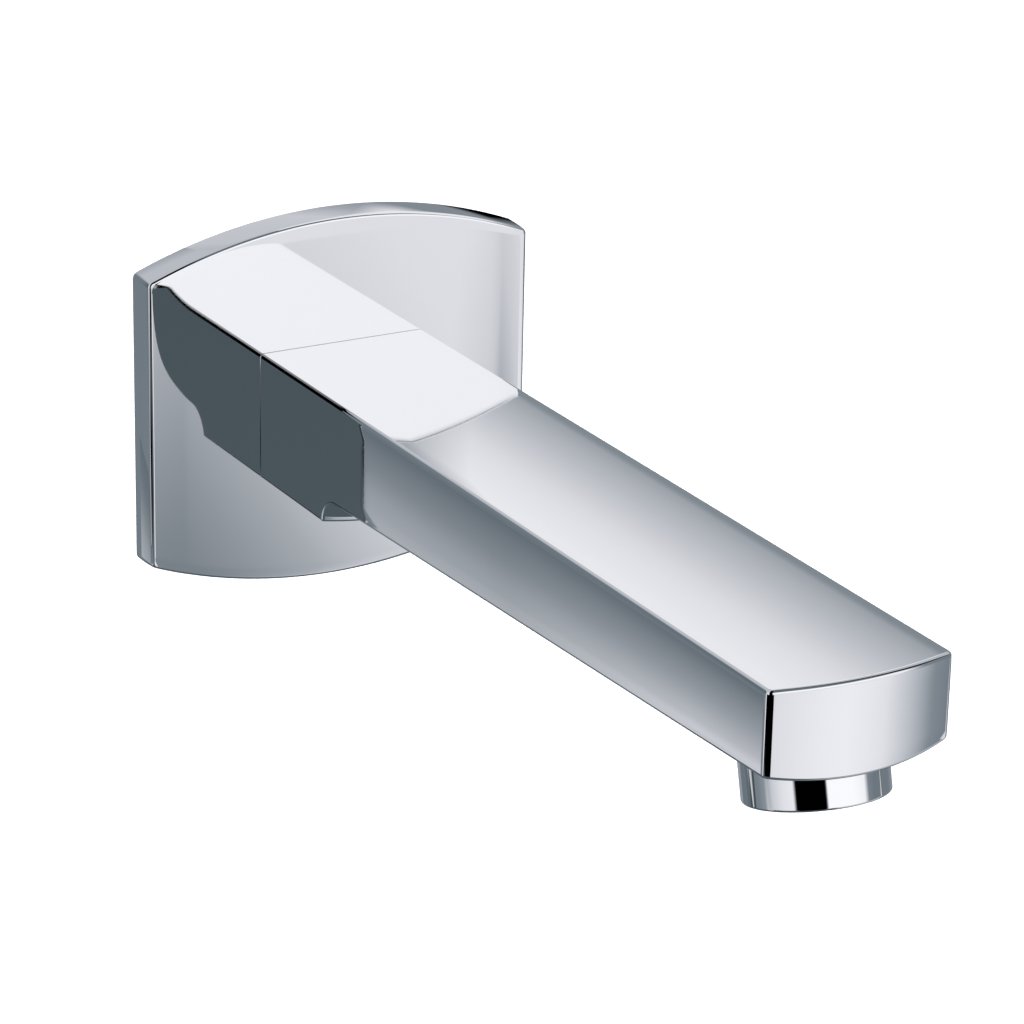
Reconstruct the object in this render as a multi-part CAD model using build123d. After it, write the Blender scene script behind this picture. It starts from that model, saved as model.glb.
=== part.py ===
from build123d import *
import os
from math import atan, cos, radians, sin, sqrt

# Bath spout for wall mounting, as it is fitted, in millimetres.
# The origin is where the inlet's axis meets the wall. The spout points along -Y, +X is to the
# right of someone who faces the wall, +Z is up, and the wall fills the side of +Y.

# Driving dimensions of the cast spout
SPOUT_WIDTH = 42.0
SPOUT_LENGTH = 214.4        # flange face to the corners of the tip
TOP_Z = 13.7                # flat top above the inlet's axis
ROOT_DEPTH = 27.55          # top to underside on the centre line, at the flange
TIP_DEPTH = 20.45           # the same at the corners of the tip
TIP_BULGE = 3.0             # how far the tip's face stands out in the middle
BOSS_DEPTH = 32.25          # top to underside of the deep foot at the flange
BOSS_LENGTH = 31.35
BOSS_ARCH = 2.1             # how far the arched underside drops from the sides to the middle
BOSS_BLEND = 6.65           # hollow front of the foot
WALL = 3.2
TOP_WALL = 3.0
CORNER_RADIUS = 1.6         # upright corners of the tip
EDGE_RADIUS = 0.9
UNDER_EDGE_RADIUS = 0.8

# Driving dimensions of the wall flange
FLANGE_WIDTH = 97.6
FLANGE_SIDE_HEIGHT = 68.6
FLANGE_RISE = 9.6           # height of the arcs at the top and the bottom
FLANGE_DEPTH = 8.4
FLANGE_FACE_WALL = 2.4
FLANGE_CORNER = 1.8
FLANGE_EDGE = 0.8
RIM_WALL = 2.2
GASKET_WIDTH = 5.0
GASKET_DEPTH = 3.0

# Neck of the spout, which passes through the flange
NECK_LENGTH = 3.8
NECK_HALF_WIDTH = 19.4
NECK_TOP = 12.2
NECK_BOTTOM = -14.8
NECK_CORNER = 2.0
NECK_PLAY = 0.15
SEAL_RING_WIDTH = 2.4

# Connection nipple with a G 1/2 male thread to the wall and a plug with two O-rings
THREAD_RADIUS = 10.48
THREAD_LENGTH = 15.0
THREAD_CHAMFER = 1.0
RELIEF_RADIUS = 9.3         # thread relief under the washer
COLLAR_RADIUS = 12.0
COLLAR_DEPTH = 2.8
WASHER_DEPTH = 1.5
PLUG_RADIUS = 10.2
PLUG_END = -35.0
SOCKET_RADIUS = 10.28
SOCKET_END = -37.0
WATERWAY_START = -46.0      # rear wall of the hollow behind the socket
NIPPLE_BORE = 6.2
NIPPLE_KEY = 13.0           # across the flats of the hexagon socket
NIPPLE_KEY_DEPTH = 12.0
O_RING_PLACES = {"front": -30.5, "rear": -24.0}
O_RING_GROOVE_WIDTH = 2.6
O_RING_GROOVE_RADIUS = 8.3
O_RING_HALF_WIDTH = 1.1

# Grub screw M6 in the foot
SCREW_Y = -16.5
SCREW_RADIUS = 3.0
SCREW_KEY = 3.0
SCREW_RECESS = 1.05
V_GROOVE_DEPTH = 1.5
SCREW_TIP_RADIUS = 0.6

# Outlet collar and the aerator M24x1 in it
OUTLET_Y = -209.8           # middle of the collar's lower rim
OUTLET_Z = -17.26
OUTLET_TILT = 14.0          # degrees, the jet points away from the wall
RING_RADIUS = 14.7
RING_EDGE = 0.5
SHOULDER_HEIGHT = 14.6      # where the collar's shoulder meets the body, above its rim
SPIGOT_RADIUS = 13.0
SPIGOT_HEIGHT = 19.6
COLLAR_GROOVE_LOW = 15.0
COLLAR_GROOVE_HIGH = 17.0
COLLAR_GROOVE_RADIUS = 11.8
PAD_RADIUS = 16.2
AERATOR_THREAD = 12.0
RIM_RECESS_RADIUS = 13.2
RIM_RECESS = 2.2
SEAT_HEIGHT = 11.0
SEAT_BORE = 9.4
HOUSING_TOP = 9.4
HOUSING_BORE = 10.9
HOUSING_RIM_RADIUS = 13.0
HOUSING_RIM_LOW = 0.4
HOUSING_FLAT = 12.1         # from the axis to each of the two spanner flats
HOUSING_FLAT_WIDTH = 14.0
HOUSING_LIP = 1.4
HOUSING_MOUTH = 9.5
WASHER_EASE = 0.1
INSERT_RADIUS = 10.85
CARTRIDGE_BORE = 9.4
SCREEN_RADIUS = 9.35
HONEYCOMB_TOP = 3.6
HONEYCOMB_CELL = 1.7
HONEYCOMB_PITCH = 2.0
SCREEN_DEPTH = 0.4
MIXING_DEPTH = 1.4
CARTRIDGE_TOP = 8.4
AIR_WINDOWS = 8
DISTRIBUTOR_JET = 0.55      # radius of each fine hole
DISTRIBUTOR_ROWS = {6.6: 24, 4.6: 16}
DISTRIBUTOR_CONE = 2.6
STRAINER_RIM = 0.8
STRAINER_RADIUS = 8.6
STRAINER_RISE = 3.6
STRAINER_SKIN = 0.6
STRAINER_HOLE = 0.5         # radius
STRAINER_ROWS = {2.0: 6, 4.0: 12, 6.0: 18}
SCREEN_OPENING = 1.2
SCREEN_PITCH = 1.6
MIXING_SLOTS = 16

PLAY = 0.02                 # radial play of parts that are screwed or pushed together

FACE_Y = -FLANGE_DEPTH
TIP_Y = FACE_Y - SPOUT_LENGTH
HALF_WIDTH = SPOUT_WIDTH / 2
UNDER_SLOPE = (ROOT_DEPTH - TIP_DEPTH) / SPOUT_LENGTH
ARCH_RADIUS = (HALF_WIDTH**2 + BOSS_ARCH**2) / (2 * BOSS_ARCH)
ARCH_AXIS = Axis((0, 0, TOP_Z - BOSS_DEPTH + ARCH_RADIUS), (0, 1, 0))
OUTLET = Plane(
    origin=(0, OUTLET_Y, OUTLET_Z),
    x_dir=(1, 0, 0),
    z_dir=(0, sin(radians(OUTLET_TILT)), cos(radians(OUTLET_TILT))),
)
ALONG_WALL = Plane(origin=(0, 0, 0), x_dir=(1, 0, 0), z_dir=(0, -1, 0))   # Z of it points to the room


def turned(profile, plane):
    """Revolves a closed outline of (radius, height) points about the Z axis of a plane."""
    face = make_face(Plane.XZ * Polyline(*profile, close=True))
    return plane * revolve(face, Axis.Z)


def tube(outer, inner, low, high, plane):
    return turned([(inner, low), (outer, low), (outer, high), (inner, high)], plane)


def rod(radius, low, high, plane):
    return turned([(0, low), (radius, low), (radius, high), (0, high)], plane)


def prism(outline, low, high, plane):
    """Extrudes a flat outline, drawn in XY, from low to high along the Z axis of a plane."""
    return plane * (Pos(0, 0, low) * extrude(outline, high - low))


def ring_of(shape, count, radius):
    return [place * shape for place in PolarLocations(radius, count)]


def under_z(y, inset=0.0):
    """Height of the straight underside on the centre line, raised by a wall's thickness."""
    return TOP_Z - ROOT_DEPTH - (y - FACE_Y) * UNDER_SLOPE + inset


def below_spout(inset, with_boss):
    """Everything under the arched underside: its centre line turned about the arch's axis."""
    start_y = -FACE_Y
    end_y = TIP_Y - SPOUT_WIDTH
    floor_z = -2 * SPOUT_WIDTH
    if with_boss:
        front_y = FACE_Y - BOSS_LENGTH
        boss_z = TOP_Z - BOSS_DEPTH
        centre_y = front_y - BOSS_BLEND
        centre_z = under_z(centre_y) - BOSS_BLEND * sqrt(1 + UNDER_SLOPE**2)

        def on_arc(angle):
            return centre_y + BOSS_BLEND * cos(angle), centre_z + BOSS_BLEND * sin(angle)

        first = atan((boss_z - centre_z) / sqrt(BOSS_BLEND**2 - (boss_z - centre_z) ** 2))
        last = radians(90) - atan(UNDER_SLOPE)
        arc_start, arc_end = on_arc(first), on_arc(last)
        edge = Line((start_y, boss_z), arc_start)
        edge += ThreePointArc(arc_start, on_arc((first + last) / 2), arc_end)
        edge += Line(arc_end, (end_y, under_z(end_y)))
        start = (start_y, boss_z)
    else:
        start = (start_y, under_z(start_y, inset))
        edge = Line(start, (end_y, under_z(end_y, inset)))
    edge += Polyline((end_y, under_z(end_y, inset)), (end_y, floor_z), (start_y, floor_z), start)
    face = Plane.YZ * make_face(edge)
    half_turn = 25
    return revolve(face.rotate(ARCH_AXIS, -half_turn), ARCH_AXIS, 2 * half_turn)


def plan(half_width, start_y, end_y, bulge):
    """The spout seen from above, with its bowed tip."""
    left_tip, right_tip = (-half_width, end_y), (half_width, end_y)
    outline = Polyline(left_tip, (-half_width, start_y), (half_width, start_y), right_tip)
    outline += ThreePointArc(right_tip, (0, end_y - bulge), left_tip)
    return make_face(outline)


def spout_body():
    """One brass casting: flat top, straight sides, arched underside, hollow inside."""
    block = prism(plan(HALF_WIDTH, FACE_Y, TIP_Y, TIP_BULGE), TOP_Z - 2 * SPOUT_WIDTH, TOP_Z, Plane.XY)
    body = block - below_spout(0, True)
    body = fillet(body.edges().filter_by(Axis.Z).group_by(Axis.Y)[0], CORNER_RADIUS)
    top_edges = body.faces().sort_by(Axis.Z)[-1].edges()
    body = fillet(top_edges.filter_by(lambda edge: edge.center().Y < FACE_Y - 1), EDGE_RADIUS)
    seam_y = FACE_Y - BOSS_LENGTH - BOSS_BLEND
    low_edges = body.edges().filter_by(lambda edge: edge.center().Z < 0 and edge.center().Y < FACE_Y - 1)
    body = fillet(low_edges.filter_by(lambda edge: abs(edge.center().Y - seam_y) > 1), UNDER_EDGE_RADIUS)

    # Neck through the flange
    body += prism(neck_outline(0), FLANGE_DEPTH - NECK_LENGTH, FLANGE_DEPTH, ALONG_WALL)

    # Waterway between the socket and the outlet, with a pad that carries the collar
    hollow_face = plan(HALF_WIDTH - WALL, WATERWAY_START, TIP_Y + WALL, TIP_BULGE)
    hollow = prism(hollow_face, TOP_Z - 2 * SPOUT_WIDTH, TOP_Z - TOP_WALL, Plane.XY)
    hollow -= below_spout(WALL, False)
    hollow = fillet(hollow.edges().filter_by(Axis.Z), CORNER_RADIUS)
    hollow -= rod(PAD_RADIUS, 0, SPIGOT_HEIGHT, OUTLET)
    body -= hollow
    body -= rod(SOCKET_RADIUS, FLANGE_DEPTH - NECK_LENGTH - 1, -SOCKET_END, ALONG_WALL)
    body -= rod(SOCKET_RADIUS - WALL, -SOCKET_END - 1, -WATERWAY_START + 1, ALONG_WALL)

    # Seat of the outlet collar and the tapped hole of the grub screw
    body -= rod(RING_RADIUS + PLAY, -1, SHOULDER_HEIGHT, OUTLET)
    body -= rod(SPIGOT_RADIUS + PLAY, SHOULDER_HEIGHT - 1, SPIGOT_HEIGHT + 1, OUTLET)
    screw_plane = Plane(origin=(0, SCREW_Y, 0))
    body -= rod(SCREW_RADIUS + PLAY, -SPOUT_WIDTH, -SOCKET_RADIUS / 2, screw_plane)
    return body


def flange_outline(inset):
    """Straight sides and arcs at the top and the bottom, moved inwards by an inset."""
    half_width = FLANGE_WIDTH / 2
    side = FLANGE_SIDE_HEIGHT / 2
    arc_radius = (half_width**2 + FLANGE_RISE**2) / (2 * FLANGE_RISE)
    centre = side + FLANGE_RISE - arc_radius
    radius, x = arc_radius - inset, half_width - inset
    z = centre + sqrt(radius**2 - x**2)
    outline = Line((-x, -z), (-x, z))
    outline += ThreePointArc((-x, z), (0, centre + radius), (x, z))
    outline += Line((x, z), (x, -z))
    outline += ThreePointArc((x, -z), (0, -centre - radius), (-x, -z))
    face = make_face(outline)
    return fillet(face.vertices(), max(FLANGE_CORNER - inset, CORNER_RADIUS / 2))


def neck_outline(play):
    height = NECK_TOP - NECK_BOTTOM
    middle = (NECK_TOP + NECK_BOTTOM) / 2
    size = 2 * NECK_HALF_WIDTH + 2 * play
    return Pos(0, middle) * RectangleRounded(size, height + 2 * play, NECK_CORNER + play)


def wall_flange():
    """Die-cast cover plate with a hollow back and an opening for the spout's neck."""
    flange = prism(flange_outline(0), 0, FLANGE_DEPTH, ALONG_WALL)
    flange = fillet(flange.faces().sort_by(Axis.Y)[0].edges(), FLANGE_EDGE)
    flange -= prism(flange_outline(RIM_WALL + GASKET_WIDTH), -1, FLANGE_DEPTH - FLANGE_FACE_WALL, ALONG_WALL)
    flange -= prism(flange_outline(RIM_WALL), -1, GASKET_DEPTH, ALONG_WALL)
    flange -= prism(neck_outline(NECK_PLAY), -1, FLANGE_DEPTH + 1, ALONG_WALL)
    return flange


def flange_gasket():
    """Foam frame in the rebate of the flange's back, flush with the wall."""
    frame = flange_outline(RIM_WALL) - flange_outline(RIM_WALL + GASKET_WIDTH)
    return prism(frame, 0, GASKET_DEPTH, ALONG_WALL)


def neck_seal_ring():
    """Rubber ring on the neck that holds the flange against the spout's shoulder."""
    ring = neck_outline(SEAL_RING_WIDTH) - neck_outline(PLAY)
    return prism(ring, FLANGE_DEPTH - NECK_LENGTH, FLANGE_DEPTH - FLANGE_FACE_WALL, ALONG_WALL)


def connection_nipple():
    """Turned brass: thread in the wall, collar, and a plug with grooves for two O-rings."""
    collar_low, collar_high = WASHER_DEPTH, WASHER_DEPTH + COLLAR_DEPTH
    profile = [
        (NIPPLE_BORE, -THREAD_LENGTH),
        (THREAD_RADIUS - THREAD_CHAMFER, -THREAD_LENGTH),
        (THREAD_RADIUS, -THREAD_LENGTH + THREAD_CHAMFER),
        (THREAD_RADIUS, 0),
        (RELIEF_RADIUS, 0),
        (RELIEF_RADIUS, collar_low),
        (COLLAR_RADIUS, collar_low),
        (COLLAR_RADIUS, collar_high),
        (PLUG_RADIUS, collar_high),
        (PLUG_RADIUS, -SCREW_Y - V_GROOVE_DEPTH),
        (PLUG_RADIUS - V_GROOVE_DEPTH, -SCREW_Y),
        (PLUG_RADIUS, -SCREW_Y + V_GROOVE_DEPTH),
    ]
    for place in sorted(-y for y in O_RING_PLACES.values()):
        low, high = place - O_RING_GROOVE_WIDTH / 2, place + O_RING_GROOVE_WIDTH / 2
        profile += [(PLUG_RADIUS, low), (O_RING_GROOVE_RADIUS, low)]
        profile += [(O_RING_GROOVE_RADIUS, high), (PLUG_RADIUS, high)]
    profile += [
        (PLUG_RADIUS, -PLUG_END - THREAD_CHAMFER),
        (PLUG_RADIUS - THREAD_CHAMFER, -PLUG_END),
        (NIPPLE_BORE, -PLUG_END),
    ]
    key = RegularPolygon(NIPPLE_KEY / 2, 6, major_radius=False)
    return turned(profile, ALONG_WALL) - prism(key, -PLUG_END - NIPPLE_KEY_DEPTH, -PLUG_END + 1, ALONG_WALL)


def nipple_washer():
    return tube(COLLAR_RADIUS, THREAD_RADIUS + PLAY, 0, WASHER_DEPTH, ALONG_WALL)


def oval_ring(inner, outer, half_height, middle, plane):
    """An O-ring squeezed between two round walls."""
    section = Plane.XZ * Pos((inner + outer) / 2, middle) * Ellipse((outer - inner) / 2, half_height)
    return plane * revolve(section, Axis.Z)


def nipple_o_ring(y):
    inner, outer = O_RING_GROOVE_RADIUS + PLAY / 2, SOCKET_RADIUS - PLAY / 2
    return oval_ring(inner, outer, O_RING_HALF_WIDTH, -y, ALONG_WALL)


def grub_screw():
    """M6 screw with a hexagon socket and a cone that pulls the nipple's groove home."""
    low = TOP_Z - BOSS_DEPTH + SCREW_RECESS
    tip = -(PLUG_RADIUS - V_GROOVE_DEPTH) - SCREW_TIP_RADIUS - 2 * PLAY
    cone = SCREW_RADIUS - SCREW_TIP_RADIUS
    plane = Plane(origin=(0, SCREW_Y, 0))
    profile = [(0, low), (SCREW_RADIUS, low), (SCREW_RADIUS, tip - cone), (SCREW_TIP_RADIUS, tip), (0, tip)]
    key = RegularPolygon(SCREW_KEY / 2, 6, major_radius=False)
    return turned(profile, plane) - prism(key, low - 1, low + SCREW_KEY, plane)


def outlet_collar():
    """Turned brass ring, chromed, screwed into the underside. It holds the aerator."""
    profile = [
        (RIM_RECESS_RADIUS, 0),
        (RING_RADIUS - RING_EDGE, 0),
        (RING_RADIUS, RING_EDGE),
        (RING_RADIUS, SHOULDER_HEIGHT),
        (SPIGOT_RADIUS, SHOULDER_HEIGHT),
        (SPIGOT_RADIUS, COLLAR_GROOVE_LOW),
        (COLLAR_GROOVE_RADIUS, COLLAR_GROOVE_LOW),
        (COLLAR_GROOVE_RADIUS, COLLAR_GROOVE_HIGH),
        (SPIGOT_RADIUS, COLLAR_GROOVE_HIGH),
        (SPIGOT_RADIUS, SPIGOT_HEIGHT),
        (SEAT_BORE, SPIGOT_HEIGHT),
        (SEAT_BORE, SEAT_HEIGHT),
        (AERATOR_THREAD, SEAT_HEIGHT),
        (AERATOR_THREAD, RIM_RECESS),
        (RIM_RECESS_RADIUS, RIM_RECESS),
    ]
    return turned(profile, OUTLET)


def collar_o_ring():
    inner, outer = COLLAR_GROOVE_RADIUS + PLAY / 2, SPIGOT_RADIUS + PLAY / 2
    middle = (COLLAR_GROOVE_LOW + COLLAR_GROOVE_HIGH) / 2
    return oval_ring(inner, outer, middle - COLLAR_GROOVE_LOW - WASHER_EASE, middle, OUTLET)


def aerator_housing():
    """Threaded shell M24x1 with two flats across its rim for a spanner."""
    profile = [
        (HOUSING_MOUTH, HOUSING_RIM_LOW),
        (HOUSING_RIM_RADIUS, HOUSING_RIM_LOW),
        (HOUSING_RIM_RADIUS, RIM_RECESS),
        (AERATOR_THREAD - PLAY, RIM_RECESS),
        (AERATOR_THREAD - PLAY, HOUSING_TOP),
        (HOUSING_BORE, HOUSING_TOP),
        (HOUSING_BORE, HOUSING_LIP),
        (HOUSING_MOUTH, HOUSING_LIP),
    ]
    housing = turned(profile, OUTLET)
    cut = HOUSING_RIM_RADIUS - HOUSING_FLAT + 1
    for side in (-1, 1):
        flat = Pos(side * (HOUSING_FLAT + cut / 2), 0) * Rectangle(cut, HOUSING_FLAT_WIDTH)
        housing -= prism(flat, 0, RIM_RECESS - PLAY / 2, OUTLET)
    return housing


def aerator_washer():
    return tube(AERATOR_THREAD - WASHER_EASE, SEAT_BORE + WASHER_EASE, HOUSING_TOP, SEAT_HEIGHT, OUTLET)


def dome_strainer():
    """Moulded rim with a perforated dome that keeps grit out of the aerator."""
    foot = HOUSING_TOP + STRAINER_RIM
    ball = (STRAINER_RADIUS**2 + STRAINER_RISE**2) / (2 * STRAINER_RISE)
    centre = Pos(0, 0, foot + STRAINER_RISE - ball)
    shell = centre * Sphere(ball) - centre * Sphere(ball - STRAINER_SKIN)
    dome = shell & Pos(0, 0, foot + STRAINER_RISE) * Cylinder(STRAINER_RADIUS, 2 * STRAINER_RISE)
    rim = tube(SEAT_BORE - PLAY, STRAINER_RADIUS - 1, HOUSING_TOP, foot, Plane.XY)
    hole = Pos(0, 0, HOUSING_TOP) * Cylinder(STRAINER_HOLE, 4 * STRAINER_RISE)
    strainer = dome + rim
    for radius, count in STRAINER_ROWS.items():
        strainer -= ring_of(hole, count, radius)
    return OUTLET * strainer


def distributor_plate():
    """Disc that splits the flow into fine jets, with a blunt cone in the middle."""
    plate = tube(INSERT_RADIUS, 0, CARTRIDGE_TOP, HOUSING_TOP, Plane.XY)
    low, tip = CARTRIDGE_TOP - 2, DISTRIBUTOR_CONE / 2
    plate += turned([(0, low), (tip, low), (DISTRIBUTOR_CONE, CARTRIDGE_TOP), (0, CARTRIDGE_TOP)], Plane.XY)
    hole = Pos(0, 0, CARTRIDGE_TOP) * Cylinder(DISTRIBUTOR_JET, 4)
    for radius, count in DISTRIBUTOR_ROWS.items():
        plate -= ring_of(hole, count, radius)
    return OUTLET * plate


def aerator_cartridge():
    """Sleeve that holds the screens, with windows that let the air in."""
    sleeve = tube(INSERT_RADIUS, CARTRIDGE_BORE, HONEYCOMB_TOP, CARTRIDGE_TOP, Plane.XY)
    window_height = (CARTRIDGE_TOP - HONEYCOMB_TOP) / 3
    window = Pos(0, 0, CARTRIDGE_TOP - window_height) * Box(4, 2.4, window_height)
    return OUTLET * (sleeve - ring_of(window, AIR_WINDOWS, (INSERT_RADIUS + CARTRIDGE_BORE) / 2))


def mixing_screen(low):
    """Fine screen, drawn as a disc with a square pattern of openings."""
    disc = tube(SCREEN_RADIUS, 0, low, low + SCREEN_DEPTH, Plane.XY)
    opening = Pos(0, 0, low) * Box(SCREEN_OPENING, SCREEN_OPENING, 4 * SCREEN_DEPTH)
    count = int(2 * SCREEN_RADIUS / SCREEN_PITCH)
    places = [
        place
        for place in GridLocations(SCREEN_PITCH, SCREEN_PITCH, count, count)
        if place.position.length < SCREEN_RADIUS - SCREEN_OPENING
    ]
    return OUTLET * (disc - [place * opening for place in places])


def mixing_insert():
    """Disc with slots that stirs air into the water."""
    low = HONEYCOMB_TOP + SCREEN_DEPTH
    disc = tube(SCREEN_RADIUS, 0, low, low + MIXING_DEPTH, Plane.XY)
    slot = Pos(0, 0, low) * Box(SCREEN_RADIUS / 2, SCREEN_RADIUS / 10, 4 * MIXING_DEPTH)
    return OUTLET * (disc - ring_of(slot, MIXING_SLOTS, SCREEN_RADIUS * 2 / 3))


def honeycomb_outlet():
    """Straightener of hexagonal cells that is seen in the mouth of the spout."""
    disc = tube(INSERT_RADIUS, 0, HOUSING_LIP, HONEYCOMB_TOP, Plane.XY)
    cell = RegularPolygon(HONEYCOMB_CELL / 2, 6, major_radius=False)
    hole = Pos(0, 0, HOUSING_LIP - 1) * extrude(cell, HONEYCOMB_TOP)
    grid = HexLocations(HONEYCOMB_PITCH / 2, 11, 11, major_radius=False)
    places = [place for place in grid if place.position.length < HOUSING_MOUTH - HONEYCOMB_CELL / sqrt(3)]
    return OUTLET * (disc - [place * hole for place in places])


PARTS = {
    "spout_body": spout_body,
    "wall_flange": wall_flange,
    "flange_gasket": flange_gasket,
    "neck_seal_ring": neck_seal_ring,
    "connection_nipple": connection_nipple,
    "nipple_washer": nipple_washer,
    "nipple_o_ring_front": lambda: nipple_o_ring(O_RING_PLACES["front"]),
    "nipple_o_ring_rear": lambda: nipple_o_ring(O_RING_PLACES["rear"]),
    "grub_screw": grub_screw,
    "outlet_collar": outlet_collar,
    "collar_o_ring": collar_o_ring,
    "aerator_housing": aerator_housing,
    "aerator_washer": aerator_washer,
    "dome_strainer": dome_strainer,
    "distributor_plate": distributor_plate,
    "aerator_cartridge": aerator_cartridge,
    "mixing_screen_upper": lambda: mixing_screen(HONEYCOMB_TOP + SCREEN_DEPTH + MIXING_DEPTH),
    "mixing_screen_lower": lambda: mixing_screen(HONEYCOMB_TOP),
    "mixing_insert": mixing_insert,
    "honeycomb_outlet": honeycomb_outlet,
}

os.makedirs("parts", exist_ok=True)
for name, make in PARTS.items():
    export_step(make(), f"parts/{name}.step")
    print(name)
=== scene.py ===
from math import asin, atan2, cos, hypot, pi, radians, sin, sqrt, tan

import bmesh
import bpy
from mathutils import Matrix, Vector


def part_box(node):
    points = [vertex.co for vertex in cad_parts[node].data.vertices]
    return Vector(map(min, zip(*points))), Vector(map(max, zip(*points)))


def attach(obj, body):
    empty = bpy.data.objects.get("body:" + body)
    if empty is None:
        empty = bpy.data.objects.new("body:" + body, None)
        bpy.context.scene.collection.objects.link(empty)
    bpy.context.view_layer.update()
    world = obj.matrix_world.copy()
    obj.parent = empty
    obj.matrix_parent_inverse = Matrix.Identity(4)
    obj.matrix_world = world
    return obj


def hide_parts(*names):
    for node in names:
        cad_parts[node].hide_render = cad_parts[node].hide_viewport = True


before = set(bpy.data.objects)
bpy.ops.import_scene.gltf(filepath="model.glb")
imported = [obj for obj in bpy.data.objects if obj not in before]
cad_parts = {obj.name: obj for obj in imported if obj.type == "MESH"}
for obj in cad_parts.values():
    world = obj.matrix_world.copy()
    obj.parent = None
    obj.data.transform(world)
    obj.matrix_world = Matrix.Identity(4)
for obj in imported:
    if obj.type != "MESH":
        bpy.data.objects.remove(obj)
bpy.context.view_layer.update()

MM = 0.001

# Camera
# A long lens in front of the spout, to its left and above it, tipped by about one degree.

CAMERA_PLACE = Vector((-404.5, -798.2, 313.6)) * MM
CAMERA_YAW = radians(29.696)  # from +Y towards +X
CAMERA_PITCH = radians(21.049)  # downwards
CAMERA_ROLL = radians(1.222)
CAMERA_LENS = 142.714
SENSOR_WIDTH = 36.0  # in millimetres, as the lens


def added(name, data):
    """A new object in the scene."""
    made = bpy.data.objects.new(name, data)
    bpy.context.scene.collection.objects.link(made)
    return made


camera = added("camera", bpy.data.cameras.new("camera"))
bpy.context.scene.camera = camera
camera.data.sensor_width = SENSOR_WIDTH
camera.data.lens = CAMERA_LENS
camera.location = CAMERA_PLACE
camera.rotation_euler = (
    Matrix.Rotation(-CAMERA_YAW, 3, "Z")
    @ Matrix.Rotation(pi / 2 - CAMERA_PITCH, 3, "X")
    @ Matrix.Rotation(CAMERA_ROLL, 3, "Z")
).to_euler()
bpy.context.scene.view_settings.view_transform = "Standard"

# Spout body
# The arm and the deep foot at the wall are one hollow brass casting, ground flat on its top and
# sides, polished and chromed. A neck at its back goes through the cover plate, and the outlet
# collar is screwed into its arched underside.

spout_low, spout_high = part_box("spout_body")
flange_low, flange_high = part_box("wall_flange")
TOP_Z = spout_high.z
HALF_WIDTH = spout_high.x
FACE_Y = flange_low.y  # front of the cover plate, where the spout's shoulder sits
TIP_BULGE = 3.0 * MM
TIP_Y = spout_low.y + TIP_BULGE  # corners of the bowed tip
ROOT_DEPTH = 27.55 * MM
TIP_DEPTH = 20.45 * MM
UNDER_SLOPE = (ROOT_DEPTH - TIP_DEPTH) / (FACE_Y - TIP_Y)
BOSS_DEPTH = 32.25 * MM
BOSS_LENGTH = 31.35 * MM
BOSS_ARCH = 2.1 * MM
BOSS_BLEND = 6.65 * MM
ARCH_RADIUS = (HALF_WIDTH**2 + BOSS_ARCH**2) / (2 * BOSS_ARCH)
ARCH_Z = TOP_Z - BOSS_DEPTH + ARCH_RADIUS
CORNER_RADIUS = 1.6 * MM
EDGE_RADIUS = 0.9 * MM
UNDER_EDGE_RADIUS = 0.8 * MM
HOLD = 0.05 * MM  # narrow strip that keeps a flat face flat beside a rounding
FADE = 3.2 * MM  # width beside an edge where the buffing wheel rounded the face
FADE_DROP = 0.045 * MM
FADE_REACH = 0.9  # most that a margin takes of the half width of the top
SHOULDER_ROUND = 0.22 * MM  # rounding of the shoulder against the cover plate
SEAM = 0.001 * MM  # points nearer to each other than this are one
TURN_GAP = 0.02  # share of an edge's rounding left out where it meets a face
WALL = 3.2 * MM
TOP_WALL = 3.0 * MM
NECK_BACK = spout_high.y
NECK_HALF_WIDTH = 19.4 * MM
NECK_TOP = 12.2 * MM
NECK_BOTTOM = -14.8 * MM
NECK_CORNER = 2.0 * MM
SOCKET_RADIUS = 10.28 * MM
SOCKET_END = -37.0 * MM
WATERWAY_START = -46.0 * MM
SCREW_Y = -16.5 * MM
SCREW_HOLE = 3.02 * MM
OUTLET_TILT = radians(14.0)
OUTLET_PLACE = Vector((0, -209.8, -17.26)) * MM
OUTLET_AXIS = Vector((0, sin(OUTLET_TILT), cos(OUTLET_TILT)))
RING_HOLE = 14.72 * MM
SHOULDER_HEIGHT = 14.6 * MM
SPIGOT_HOLE = 13.02 * MM
SPIGOT_HEIGHT = 19.6 * MM
PAD_RADIUS = 16.2 * MM
ARC_STEPS = 8
BOW_STEPS = 24
FADE_STEPS = 8
ACROSS = 16
ROUND_STEPS = 96
WAVE_SCALE = 45.0  # scales of the noise in the chrome, per metre
LINE_SCALE = 2600.0
FILM_SCALE = 24.0
LINE_SQUASH = 0.05  # squash of the buffing lines along themselves
LINE_SHARE = 0.004  # height of the lines beside that of the waves
WAVE_HEIGHT = 0.004 * MM


def steps(count, start=0.0, end=1.0):
    """Evenly spaced numbers from start to end, both included."""
    return [start + (end - start) * k / count for k in range(count + 1)]


def skin(name, loops, caps=(0, -1)):
    """A closed mesh through loops of equally many points. Without caps it is closed to a hoop."""
    shape = bmesh.new()
    rings = [[shape.verts.new(point) for point in loop] for loop in loops]
    for one, other in zip(rings, rings[1:] if caps else rings[1:] + rings[:1]):
        for k in range(len(one)):
            shape.faces.new((one[k], other[k], other[k - 1], one[k - 1]))
    for cap in caps:
        shape.faces.new(rings[cap])
    return finished(name, shape)


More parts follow.
